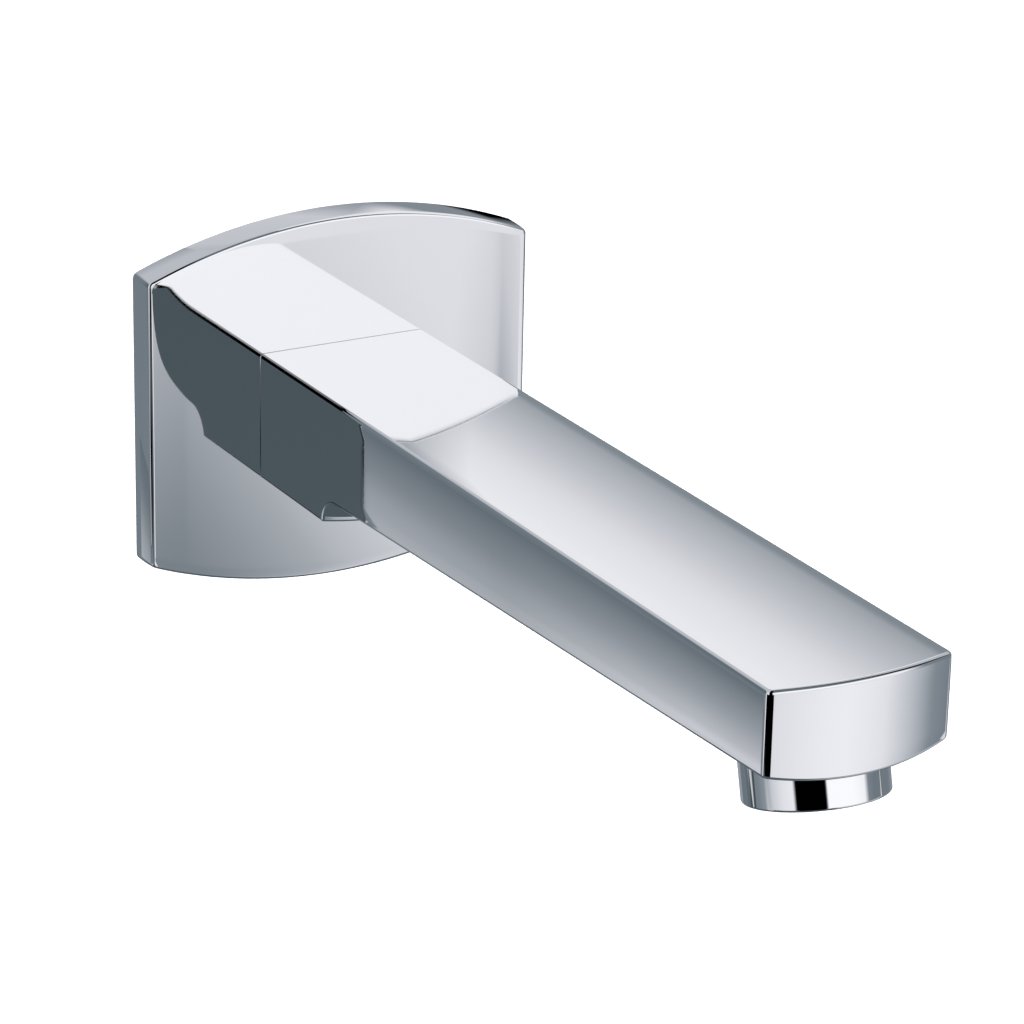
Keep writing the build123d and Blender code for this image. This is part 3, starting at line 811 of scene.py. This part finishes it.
def threaded(made, root, crest, pitch, start, end, place):
    """Joins the ridge of a thread on to a turned piece."""
    place = place @ Matrix.Translation((0, 0, start))
    sizes = {"root": root - RIDGE_SUNK, "crest": crest, "pitch": pitch, "turns": (end - start) / pitch}
    ridge = grow(made.name + "_ridge", thread, place, **sizes)
    shape = bmesh.new()
    shape.from_mesh(ridge.data)
    bmesh.ops.remove_doubles(shape, verts=shape.verts, dist=SEAM)
    bmesh.ops.recalc_face_normals(shape, faces=shape.faces)
    shape.to_mesh(ridge.data)
    shape.free()
    combine(made, ridge, "UNION")


def metal(name, dark, light, roughness, axis):
    """Machined metal with the fine rings of the turning tool about an axis."""
    material, place = new_material(name)
    squash = [0.0, 0.0, 0.0]
    squash[axis] = 1.0
    rings = fine_grain(place, squash)
    clouds = noise(place, STAIN_SCALE, 4.0, 0.6)
    shades = clouds.blend((*dark, 1.0), (*light, 1.0))
    rough = roughness + rings * 0.16 + (clouds - 0.4).clamped() * 0.3
    return finish_material(material, shades, rough, rings, TOOL_MARKS, 1.0)


nipple_outline = [
    (NIPPLE_BORE, -THREAD_LENGTH, SOFT_EDGE),
    (THREAD_ROOT, -THREAD_LENGTH, WIDE_EDGE),
    (THREAD_ROOT, COLLAR_BACK),
    (COLLAR_RADIUS, COLLAR_BACK, SMALL_EDGE),
    (COLLAR_RADIUS, COLLAR_FRONT, WIDE_EDGE),
    (PLUG_RADIUS, COLLAR_FRONT),
    (PLUG_RADIUS, -SCREW_Y - V_GROOVE),
    (PLUG_RADIUS - V_GROOVE, -SCREW_Y),
    (PLUG_RADIUS, -SCREW_Y + V_GROOVE),
]
for height in sorted(O_RING_PLACES.values()):
    nipple_outline += [
        (PLUG_RADIUS, height - O_RING_HALF_GROOVE, FINE_EDGE),
        (O_RING_GROOVE, height - O_RING_HALF_GROOVE, SOFT_EDGE),
        (O_RING_GROOVE, height + O_RING_HALF_GROOVE, SOFT_EDGE),
        (PLUG_RADIUS, height + O_RING_HALF_GROOVE, FINE_EDGE),
    ]
nipple_outline += [
    (PLUG_RADIUS, PLUG_END - MM),
    (PLUG_RADIUS - MM, PLUG_END),
    (NIPPLE_BORE, PLUG_END, SOFT_EDGE),
]
nipple = turned("brass_nipple", nipple_outline, WALL_FRAME)
threaded(nipple, THREAD_ROOT, THREAD_RADIUS, THREAD_PITCH, *THREAD_ENDS, WALL_FRAME)
key_ends = Vector((0, -PLUG_END - MM, 0)), Vector((0, KEY_DEPTH - PLUG_END, 0))
combine(nipple, rod("nipple_key", KEY_HALF / cos(pi / 6), *key_ends, 6))
brass = metal("turned_brass", (0.68, 0.49, 0.21), (0.83, 0.66, 0.34), 0.16, 1)
dress(nipple, brass, "connection_nipple")

# Nipple washer and O-rings
# A flat washer behind the nipple's collar, and two O-rings squeezed between its grooves and the
# bore of the foot. All are moulded rubber.

WASHER_INSIDE = 10.5 * MM
O_RING_HALF = 1.1 * MM
SEAL_PLAY = 0.01 * MM
WASHER_EDGE = 0.12 * MM
SEAL_STEPS = 20


def flat_washer(name, inside, outside, low, high, place=OUTLET_FRAME):
    """A flat ring, or a disc where the inside is 0, with edges barely rounded."""
    corners = [(inside, low), (outside, low), (outside, high), (inside, high)]
    return turned(name, [(*corner, WASHER_EDGE) if corner[0] else corner for corner in corners], place)


def o_ring(name, groove, wall, half_height, middle, place=OUTLET_FRAME):
    """An O-ring squeezed to an oval between the bottom of its groove and a round wall."""
    inside, outside = groove + SEAL_PLAY, wall - SEAL_PLAY
    radius, half_width = (inside + outside) / 2, (outside - inside) / 2
    angles = [2 * pi * k / SEAL_STEPS for k in range(SEAL_STEPS)]
    outline = [(radius + half_width * cos(a), middle + half_height * sin(a)) for a in angles]
    return turned(name, outline, place)


washer = flat_washer("wall_washer", WASHER_INSIDE, COLLAR_RADIUS, 0, COLLAR_BACK, WALL_FRAME)
dress(washer, rubber, "nipple_washer")
for side, height in O_RING_PLACES.items():
    ring = o_ring("o_ring_" + side, O_RING_GROOVE, SOCKET_RADIUS, O_RING_HALF, height, WALL_FRAME)
    dress(ring, rubber, "nipple_o_ring_" + side)

# Grub screw
# A stainless M6 screw with a hexagon socket, screwed into the foot from below. Its cone pulls the
# groove of the nipple, and so the spout, towards the wall.

SCREW_RADIUS = 2.98 * MM
SCREW_ROOT = 2.42 * MM
SCREW_PITCH = 1.0 * MM
SCREW_LOW = spout_low.z + 1.05 * MM
SCREW_TIP = -9.34 * MM
SCREW_TIP_RADIUS = 0.6 * MM
SCREW_KEY_HALF = 1.5 * MM
SCREW_KEY_DEPTH = 3.0 * MM
SCREW_EDGE = 0.25 * MM
SCREW_PLAIN = 0.6 * MM, 0.4 * MM  # plain lengths below and above the thread
SCREW_FRAME = Matrix.Translation((0, SCREW_Y, 0))

cone = SCREW_ROOT - SCREW_TIP_RADIUS
screw_outline = [
    (0, SCREW_LOW),
    (SCREW_ROOT, SCREW_LOW, SCREW_EDGE),
    (SCREW_ROOT, SCREW_TIP - cone),
    (SCREW_TIP_RADIUS, SCREW_TIP),
    (0, SCREW_TIP),
]
screw = turned("m6_screw", screw_outline, SCREW_FRAME, 48)
thread_ends = SCREW_LOW + SCREW_PLAIN[0], SCREW_TIP - cone - SCREW_PLAIN[1]
threaded(screw, SCREW_ROOT, SCREW_RADIUS, SCREW_PITCH, *thread_ends, SCREW_FRAME)
key_ends = Vector((0, SCREW_Y, SCREW_LOW - MM)), Vector((0, SCREW_Y, SCREW_LOW + SCREW_KEY_DEPTH))
combine(screw, rod("screw_key", SCREW_KEY_HALF / cos(pi / 6), *key_ends, 6))
stainless = metal("stainless", (0.54, 0.54, 0.55), (0.66, 0.66, 0.67), 0.2, 2)
dress(screw, stainless, "grub_screw")

# Collar seal and aerator washer
# A rubber O-ring in the groove of the collar's spigot, and the flat washer on which the aerator
# is screwed down.

HOUSING_TOP = 9.4 * MM
COLLAR_SEAL_HALF = 0.9 * MM
WASHER_PLAY = 0.1 * MM

middle = (GROOVE_LOW + GROOVE_HIGH) / 2
seal = o_ring("collar_seal", GROOVE_RADIUS, SPIGOT_HOLE, COLLAR_SEAL_HALF, middle)
dress(seal, rubber, "collar_o_ring")
radii = SEAT_BORE + WASHER_PLAY, AERATOR_THREAD - WASHER_PLAY
seat_washer = flat_washer("seat_washer", *radii, HOUSING_TOP, SEAT_HEIGHT)
dress(seat_washer, rubber, "aerator_washer")

# Aerator housing
# A thin chromed brass shell with an M24x1 thread. Its rim has two flats for a spanner, and its lip
# holds the plastic insides.

HOUSING_RIM = 13.0 * MM
HOUSING_RIM_LOW = 0.4 * MM
HOUSING_ROOT = 11.45 * MM
HOUSING_CREST = 11.97 * MM
HOUSING_PITCH = 1.0 * MM
HOUSING_THREAD = 2.9 * MM, 8.9 * MM  # first and last height of the thread's ridge
HOUSING_BORE = 10.9 * MM
HOUSING_LIP = 1.4 * MM
HOUSING_EDGE = 0.3 * MM
HOUSING_MOUTH = 9.5 * MM
HOUSING_FLAT = 12.1 * MM
FLAT_HALF_WIDTH = 7.0 * MM

housing = turned(
    "aerator_shell",
    [
        (HOUSING_MOUTH, HOUSING_RIM_LOW, HOUSING_EDGE),
        (HOUSING_RIM, HOUSING_RIM_LOW, HOUSING_EDGE),
        (HOUSING_RIM, RIM_RECESS, FINE_EDGE),
        (HOUSING_ROOT, RIM_RECESS),
        (HOUSING_ROOT, HOUSING_TOP, FINE_EDGE),
        (HOUSING_BORE, HOUSING_TOP),
        (HOUSING_BORE, HOUSING_LIP),
        (HOUSING_MOUTH, HOUSING_LIP),
    ],
    OUTLET_FRAME,
    OUTLET_STEPS,
)
threaded(housing, HOUSING_ROOT, HOUSING_CREST, HOUSING_PITCH, *HOUSING_THREAD, OUTLET_FRAME)
for side in (-1, 1):
    near, far = side * HOUSING_FLAT, side * (HOUSING_RIM + MM)
    corners = [(near, -FLAT_HALF_WIDTH), (near, FLAT_HALF_WIDTH)]
    corners += [(far, FLAT_HALF_WIDTH), (far, -FLAT_HALF_WIDTH)]
    heights = 0, RIM_RECESS - PLAY
    loops = [[OUTLET_FRAME @ Vector((x, y, height)) for x, y in corners] for height in heights]
    combine(housing, skin("spanner_flat", loops))
dress(housing, chrome("polished_shell", 0), "aerator_housing")

# Honeycomb, insert, distributor, cartridge and strainer
# The moulded insides of the aerator. The strainer keeps grit out, the distributor splits the water
# into fine jets, air comes in through the cartridge's windows, and the honeycomb straightens the jet.

INSERT_RADIUS = 10.85 * MM
HONEYCOMB_TOP = 3.6 * MM
CELL_RADIUS = 0.85 * MM / cos(pi / 6)
CELL_PITCH = 2.0 * MM
CELL_ROWS = 11
CELL_REACH = 8.5 * MM  # from the axis to the middle of the outermost cells
SCREEN_RADIUS = 9.35 * MM
SCREEN_DEPTH = 0.4 * MM
MIXING_TOP = 5.4 * MM
MIXER_SLOTS = 16
CARTRIDGE_TOP = 8.4 * MM
CARTRIDGE_BORE = 9.4 * MM
WINDOWS = 8
WINDOW_WIDTH = 2.4 * MM
CONE_RADIUS = 2.6 * MM
CONE_DEPTH = 2.0 * MM
CONE_EDGE = 0.3 * MM
JET_ROWS = ((6.6 * MM, 24), (4.6 * MM, 16))  # radius of each ring of holes, and their count
JET_RADIUS = 0.55 * MM
STRAINER_RADIUS = 8.6 * MM
STRAINER_FOOT = 10.2 * MM
STRAINER_TOP = 13.8 * MM
STRAINER_SKIN = 0.6 * MM
STRAINER_ROWS = ((2.0 * MM, 6), (4.0 * MM, 12), (6.0 * MM, 18))
STRAINER_HOLE = 0.5 * MM
STRAINER_PINS = 12.0 * MM  # middle of the pins that cut the strainer's holes
PIN_DEPTH = 4.0 * MM
MOULDING_SCALE = 3400.0
PIN_TURN = 0.013  # keeps the pins' edges off the seams of the turned pieces


def ring_of_holes(start, count, ring, sides, hole, depth):
    """Round pins in a ring."""
    points = start.node("GeometryNodeMeshCircle", Vertices=count, Radius=ring)
    pin = start.node("GeometryNodeMeshCylinder", Vertices=sides, Radius=hole, Depth=depth)
    return points.node("GeometryNodeInstanceOnPoints", Points=points, Instance=pin)


def ring_of_slots(start, count, ring, length, width, depth):
    """Blocks in a ring, turned so that their length points to the middle."""
    points = start.node("GeometryNodeMeshCircle", Vertices=count, Radius=ring)
    size = start.node("ShaderNodeCombineXYZ", X=length, Y=width, Z=depth)
    block = start.node("GeometryNodeMeshCube", Size=size)
    outwards = start.node("GeometryNodeInputPosition")
    turn = start.node("FunctionNodeAlignEulerToVector", {"axis": "X"}, Vector=outwards)
    spread = {"Points": points, "Instance": block, "Rotation": turn}
    return points.node("GeometryNodeInstanceOnPoints", **spread)


def honeycomb_cells(start, rows, pitch, reach, cell, depth):
    """Six-sided pins in staggered rows within a circle."""
    step = pitch * sin(pi / 3)
    sizes = {"Size_X": pitch * (rows - 1), "Size_Y": step * (rows - 1)}
    grid = start.node("GeometryNodeMeshGrid", **sizes, Vertices_X=rows, Vertices_Y=rows)
    row = (start.node("GeometryNodeInputPosition").split()[1] / step).math("ROUND")
    shift = row.math("FLOORED_MODULO", 2.0) * pitch * 0.5
    offset = start.node("ShaderNodeCombineXYZ", X=shift)
    grid = grid.node("GeometryNodeSetPosition", Geometry=grid, Offset=offset)
    place = start.node("GeometryNodeInputPosition")
    far = start.node("ShaderNodeVectorMath", {"operation": "LENGTH"}, 1, Vector=place)
    outside = far.math("GREATER_THAN", reach)
    grid = grid.node("GeometryNodeDeleteGeometry", Geometry=grid, Selection=outside)
    pin = start.node("GeometryNodeMeshCylinder", Vertices=6, Radius=cell, Depth=depth)
    spread = {"Points": grid, "Instance": pin, "Rotation": (0, 0, pi / 6)}
    return grid.node("GeometryNodeInstanceOnPoints", **spread)


def at_height(height):
    """The place of a pattern whose middle is at a height on the outlet's axis."""
    return OUTLET_FRAME @ Matrix.Translation((0, 0, height)) @ Matrix.Rotation(PIN_TURN, 4, "Z")


def pierce(made, pattern, height, **sizes):
    """Cuts a pattern of pins out of a piece."""
    combine(made, grow("pins", pattern, at_height(height), **sizes))


def moulded_grain(place):
    return noise(place, MOULDING_SCALE, 2.0, 0.5)


GRAIN = moulded_grain, 0.008 * MM
moulded = dull("white_moulding", (0.79, 0.8, 0.8), (0.88, 0.885, 0.88), 0.4, *GRAIN)
grey_moulded = dull("grey_moulding", (0.36, 0.38, 0.4), (0.46, 0.48, 0.5), 0.36, *GRAIN)

honeycomb = flat_washer("honeycomb", 0, INSERT_RADIUS, HOUSING_LIP, HONEYCOMB_TOP)
middle = (HOUSING_LIP + HONEYCOMB_TOP) / 2
cells = {"rows": CELL_ROWS, "pitch": CELL_PITCH, "reach": CELL_REACH, "cell": CELL_RADIUS}
pierce(honeycomb, honeycomb_cells, middle, **cells, depth=PIN_DEPTH)
dress(honeycomb, grey_moulded, "honeycomb_outlet")

mixing_low = HONEYCOMB_TOP + SCREEN_DEPTH
mixer = flat_washer("mixer", 0, SCREEN_RADIUS, mixing_low, MIXING_TOP)
middle = (mixing_low + MIXING_TOP) / 2
slots = {"ring": SCREEN_RADIUS * 2 / 3, "length": SCREEN_RADIUS / 2, "width": SCREEN_RADIUS / 10}
pierce(mixer, ring_of_slots, middle, count=MIXER_SLOTS, **slots, depth=PIN_DEPTH)
dress(mixer, moulded, "mixing_insert")

cone_tip = CARTRIDGE_TOP - CONE_DEPTH
distributor_outline = [
    (0, cone_tip),
    (CONE_RADIUS / 2, cone_tip, SOFT_EDGE),
    (CONE_RADIUS, CARTRIDGE_TOP, CONE_EDGE),
    (INSERT_RADIUS, CARTRIDGE_TOP, FINE_EDGE),
    (INSERT_RADIUS, HOUSING_TOP, FINE_EDGE),
    (0, HOUSING_TOP),
]
distributor = turned("jet_plate", distributor_outline)
for radius, count in JET_ROWS:
    jets = {"count": count, "ring": radius, "sides": 16, "hole": JET_RADIUS, "depth": PIN_DEPTH}
    pierce(distributor, ring_of_holes, CARTRIDGE_TOP, **jets)
dress(distributor, moulded, "distributor_plate")

heights = HONEYCOMB_TOP, CARTRIDGE_TOP
cartridge = flat_washer("sleeve", CARTRIDGE_BORE, INSERT_RADIUS, *heights)
window_height = (CARTRIDGE_TOP - HONEYCOMB_TOP) / 3
ring = (INSERT_RADIUS + CARTRIDGE_BORE) / 2
windows = {"count": WINDOWS, "ring": ring, "length": PIN_DEPTH, "width": WINDOW_WIDTH}
height = CARTRIDGE_TOP - window_height
pierce(cartridge, ring_of_slots, height, **windows, depth=window_height)
dress(cartridge, moulded, "aerator_cartridge")

dome_rise = STRAINER_TOP - STRAINER_FOOT
dome_radius = (STRAINER_RADIUS**2 + dome_rise**2) / (2 * dome_rise)
dome_centre = STRAINER_TOP - dome_radius
dome_inside = dome_radius - STRAINER_SKIN
foot_inside = STRAINER_RADIUS - MM
foot_outside = SEAT_BORE - PLAY
strainer_outline = [
    (foot_inside, HOUSING_TOP),
    (foot_outside, HOUSING_TOP, FINE_EDGE),
    (foot_outside, STRAINER_FOOT, FINE_EDGE),
]
for radius, first, last in (
    (dome_radius, asin(STRAINER_RADIUS / dome_radius), 0),
    (dome_inside, 0, asin(foot_inside / dome_inside)),
):
    for angle in steps(12, first, last):
        strainer_outline.append((radius * sin(angle), dome_centre + radius * cos(angle)))
strainer = turned("dome", strainer_outline)
for radius, count in STRAINER_ROWS:
    holes = {"count": count, "ring": radius, "sides": 12, "hole": STRAINER_HOLE}
    pierce(strainer, ring_of_holes, STRAINER_PINS, **holes, depth=2 * PIN_DEPTH)
dress(strainer, moulded, "dome_strainer")

# Mixing screens
# Two discs of woven stainless wire, one above and one below the mixing insert, each with a pressed
# rim.

WEAVE_PITCH = 0.85 * MM
WIRE_RADIUS = 0.1 * MM
WIRE_LIFT = 0.09 * MM
WIRES = 21
WIRE_BENDS = 89  # points along each wire
RIM_INSIDE = 8.95 * MM


def weave(start, count, pitch, reach, bends, wire, lift):
    """Straight wires in both directions that pass over and under each other."""
    join = start.node("GeometryNodeJoinGeometry")
    for along, across, shift, side in (("X", "Y", 0.0, 1), ("Y", "X", 0.5, -1)):
        first = (count - 1) * pitch * -0.5 + pitch * shift
        first = start.node("ShaderNodeCombineXYZ", **{across: first})
        pace = start.node("ShaderNodeCombineXYZ", **{across: pitch})
        spots = {"Count": count, "Start_Location": first, "Offset": pace}
        spots = start.node("GeometryNodeMeshLine", **spots)
        off = start.node("GeometryNodeInputPosition").split()["XYZ".index(across)]
        chord = (reach * reach - off * off).math("MAXIMUM", 1e-9).math("SQRT")
        end = [float(letter == along) for letter in "XYZ"]
        line = start.node("GeometryNodeCurvePrimitiveLine", Start=[-part for part in end], End=end)
        line = line.node("GeometryNodeResampleCurve", Curve=line, Count=bends)
        scale = start.node("ShaderNodeCombineXYZ", **{along: chord, across: 1.0, "Z": 1.0})
        spread = {"Points": spots, "Instance": line, "Scale": scale}
        wires = spots.node("GeometryNodeInstanceOnPoints", **spread)
        wires = wires.node("GeometryNodeRealizeInstances", Geometry=wires)
        x, y, z = start.node("GeometryNodeInputPosition").split()
        wave = (x / pitch * pi).math("SINE") * (y / pitch * pi).math("COSINE") * lift * side
        offset = start.node("ShaderNodeCombineXYZ", Z=wave)
        wires = wires.node("GeometryNodeSetPosition", Geometry=wires, Offset=offset)
        circle = start.node("GeometryNodeCurvePrimitiveCircle", Resolution=6, Radius=wire)
        sweep = {"Profile_Curve": circle, "Fill_Caps": True}
        wires = wires.node("GeometryNodeCurveToMesh", Curve=wires, **sweep)
        join.fill(join.socket.node.inputs[0], wires)
    return join


screen_steel = metal("screen_wire", (0.52, 0.52, 0.53), (0.66, 0.66, 0.67), 0.24, 2)
reach = SCREEN_RADIUS - WIRE_RADIUS
lines = {"count": WIRES, "pitch": WEAVE_PITCH, "reach": reach, "bends": WIRE_BENDS}
wires = {"wire": WIRE_RADIUS, "lift": WIRE_LIFT}
for level, low in (("lower", HONEYCOMB_TOP), ("upper", MIXING_TOP)):
    place = at_height(low + SCREEN_DEPTH / 2)
    screen = grow("woven_screen_" + level, weave, place, **lines, **wires)
    rim = flat_washer("pressed_rim", RIM_INSIDE, SCREEN_RADIUS, low, low + SCREEN_DEPTH)
    together = bmesh.new()
    together.from_mesh(screen.data)
    together.from_mesh(rim.data)
    together.to_mesh(screen.data)
    together.free()
    bpy.data.objects.remove(rim)
    dress(screen, screen_steel, "mixing_screen_" + level, 60)

# Floor and light
# A plain pale floor well below the spout, soft cards that only the chrome mirrors, and bands of
# light and dark behind them.

FLOOR_Z = -0.45
FLOOR_HALF = 6.0


def sheet(name, centre, across, up, material):
    """A flat sheet of two half sizes."""
    centre, across, up = Vector(centre), Vector(across), Vector(up)
    corners = [centre - across - up, centre + across - up, centre + across + up, centre - across + up]
    mesh = bpy.data.meshes.new(name)
    mesh.from_pydata(corners, [], [(0, 1, 2, 3)])
    mesh.materials.append(material)
    return added(name, mesh)


def card(name, centre, across, up, build):
    """A glowing sheet, seen only in the chrome, with tones from a function of the place."""
    material, place = new_material(build.__name__)
    glow = place.node("ShaderNodeEmission", Color=build(place))
    place.node("ShaderNodeOutputMaterial", Surface=glow)
    made = sheet(name, centre, across, up, material)
    made.visible_camera = False
    made.visible_diffuse = False
    made.visible_shadow = False


def ramp(value, *stops):
    """Tones by a value, from stops of a value and a tone."""
    low, high = stops[0][0], stops[-1][0]
    share = (value - low) * (1 / (high - low))
    stops = [((at - low) / (high - low), tone(shown)) for at, shown in stops]
    return share.node("ShaderNodeValToRGB", {"stops": stops}, Fac=share)


def rise(value, start, width):
    """A share that grows from 0 at a start to 1 where the width ends."""
    return ((value - start) * (1 / width)).clamped()


def tone(shown):
    """Linear colour of a tone from 0 to 255. The light tones are neutral, the dark ones cold."""
    linear = (shown / 255) ** 2.2
    dark = min(max((255 - shown) / 185, 0), 1)
    return linear * (1 - 0.3 * dark**2), linear, linear * (1.025 + 0.155 * dark), 1.0


material, place = new_material("pale_floor")
finish_material(material, (0.95, 0.95, 0.95, 1.0), 0.9)
floor = sheet("floor", (0, 0, FLOOR_Z), (FLOOR_HALF, 0, 0), (0, FLOOR_HALF, 0), material)
floor.visible_glossy = False


def top_glow(place):
    """To the right of the spout, mirrored by its top and by the rim of the plate."""
    x, y, z = place.split()
    from_arm = ramp(
        z, (-0.02, 112), (0.064, 140), (0.1, 140), (0.105, 154), (0.11, 174), (0.116, 191),
        (0.124, 212), (0.13, 227), (0.136, 235), (0.145, 242), (0.65, 242)
    )
    from_rim = ramp(
        z, (-0.02, 112), (0.064, 135), (0.106, 152), (0.15, 170), (0.18, 190), (0.215, 206),
        (0.33, 202), (0.5, 201), (0.65, 188)
    )
    glow = rise(y, 0.2, 0.05).blend(from_arm, from_rim)
    dark_end = rise(z * -1, -0.06, 0.0125) * rise(y, 0.13, 0.02)
    return dark_end.blend(glow, tone(4))


def side_glow(place):
    """To the left of the spout and below it, mirrored by its side."""
    x, y, z = place.split()
    near_root = ramp(
        z, (-0.16, 110), (-0.112, 110), (-0.1, 178), (-0.09, 172), (-0.083, 160), (-0.076, 139),
        (-0.068, 121), (-0.058, 112)
    )
    near_tip = ramp(
        z, (-0.16, 108), (-0.112, 108), (-0.1, 210), (-0.09, 208), (-0.082, 187), (-0.0755, 158),
        (-0.0685, 131), (-0.058, 114)
    )
    glow = rise(y, -0.04, 1 / 11).blend(near_tip, near_root)
    below = rise(z * -1, 0.0945, 1 / 600) * rise(y * -1, 0.03, 0.01)
    near_ring = rise(y * -1, 0.086, 0.0025).math("MAXIMUM", below)
    return near_ring.blend(glow, tone(82))


def plate_glow(place):
    """In front of the spout, mirrored by the cover plate: lighter to the right and upwards."""
    x, y, z = place.split()
    to_right = (x - 0.167).math("MAXIMUM", 0.0).math("MINIMUM", 0.025)
    across = (x - 0.119).math("MAXIMUM", -0.047)
    value = across + (z.math("MAXIMUM", -0.157) + 0.1) * 0.63 - to_right * 4.0
    return ramp(
        value, (-0.15, 128), (-0.078, 134), (-0.067, 141), (-0.053, 154), (-0.043, 165),
        (-0.032, 176), (-0.021, 192), (-0.0033, 210), (0.02, 219), (0.06, 231), (0.1, 233)
    )


def cloth_glow(place):
    """Dark, mirrored by the plate and then by the side near the root."""
    return ramp(place.split()[2], (-0.25, 102), (-0.12, 93), (-0.06, 91))


card("right_card", (0.15, 0.4, 0.315), (0, 0.5, 0), (0, 0, 0.335), top_glow)
card("left_card", (-0.12, 0.01, -0.109), (0, 0.12, 0), (0, 0, 0.051), side_glow)
card("front_card", (0.1225, -0.26, -0.2), (0.1125, 0, 0), (0, 0, 0.152), plate_glow)
card("dark_cloth", (-0.135, -0.24, -0.1), (0.095, 0, 0.033), (0, 0, 0.044), cloth_glow)


def studio(start):
    """Surroundings by direction: azimuth from -Y towards +X, and elevation, in degrees."""
    x, y, z = start.node("ShaderNodeTexCoord", None, "Generated").split()
    azimuth = x.math("ARCTAN2", y * -1) * (180 / pi)
    elevation = z.math("ARCSINE") * (180 / pi)
    left = [(-180, 122), (-145, 120), (-136, 85), (-128, 92), (-112, 138), (-98, 200), (-81, 223)]
    left += [(-65, 232), (-61, 4), (-17, 4)]
    right = [(52, 128), (64, 118), (180, 122)]
    level = ramp(azimuth, *left, (-14, 251), (25, 251), (45, 240), *right)
    middle = ramp(azimuth, *left, (-13, 222), (44, 222), *right)
    low = ramp(
        azimuth, (-180, 112), (-165, 114), (-157, 120), (-125, 126), (-112, 145), (-107, 236),
        (-101, 236), (-97, 4), (-1, 4), (3, 220), (12, 228), (20, 234), (28, 236), (35, 231),
        (41, 224), (47, 203), (54, 174), (60, 136), (68, 123), (180, 150)
    )
    high = ramp(
        azimuth, (-180, 186), (-66, 190), (-58, 6), (2, 6), (12, 110), (48, 110), (55, 6),
        (72, 6), (80, 180), (180, 186)
    )
    depth = elevation * -1
    around = rise(depth, 3, 4).blend(level, middle)
    around = rise(depth, 17, 3).blend(around, low)
    around = rise(depth, 28, 14).blend(around, tone(86))
    return rise(elevation, 22, 12).blend(around, high)


world = bpy.data.worlds.new("studio")
bpy.context.scene.world = world
world.use_nodes = True
world.node_tree.nodes.clear()
start = Wire(world.node_tree)
background = start.node("ShaderNodeBackground", Color=studio(start), Strength=1.1)
start.node("ShaderNodeOutputWorld", Surface=background)

lamp = bpy.data.lights.new("overhead", "SUN")
lamp.energy = 4.0
lamp.angle = radians(40)
overhead = added("overhead", lamp)
overhead.rotation_euler = (radians(15), radians(-10), 0)
overhead.visible_glossy = False
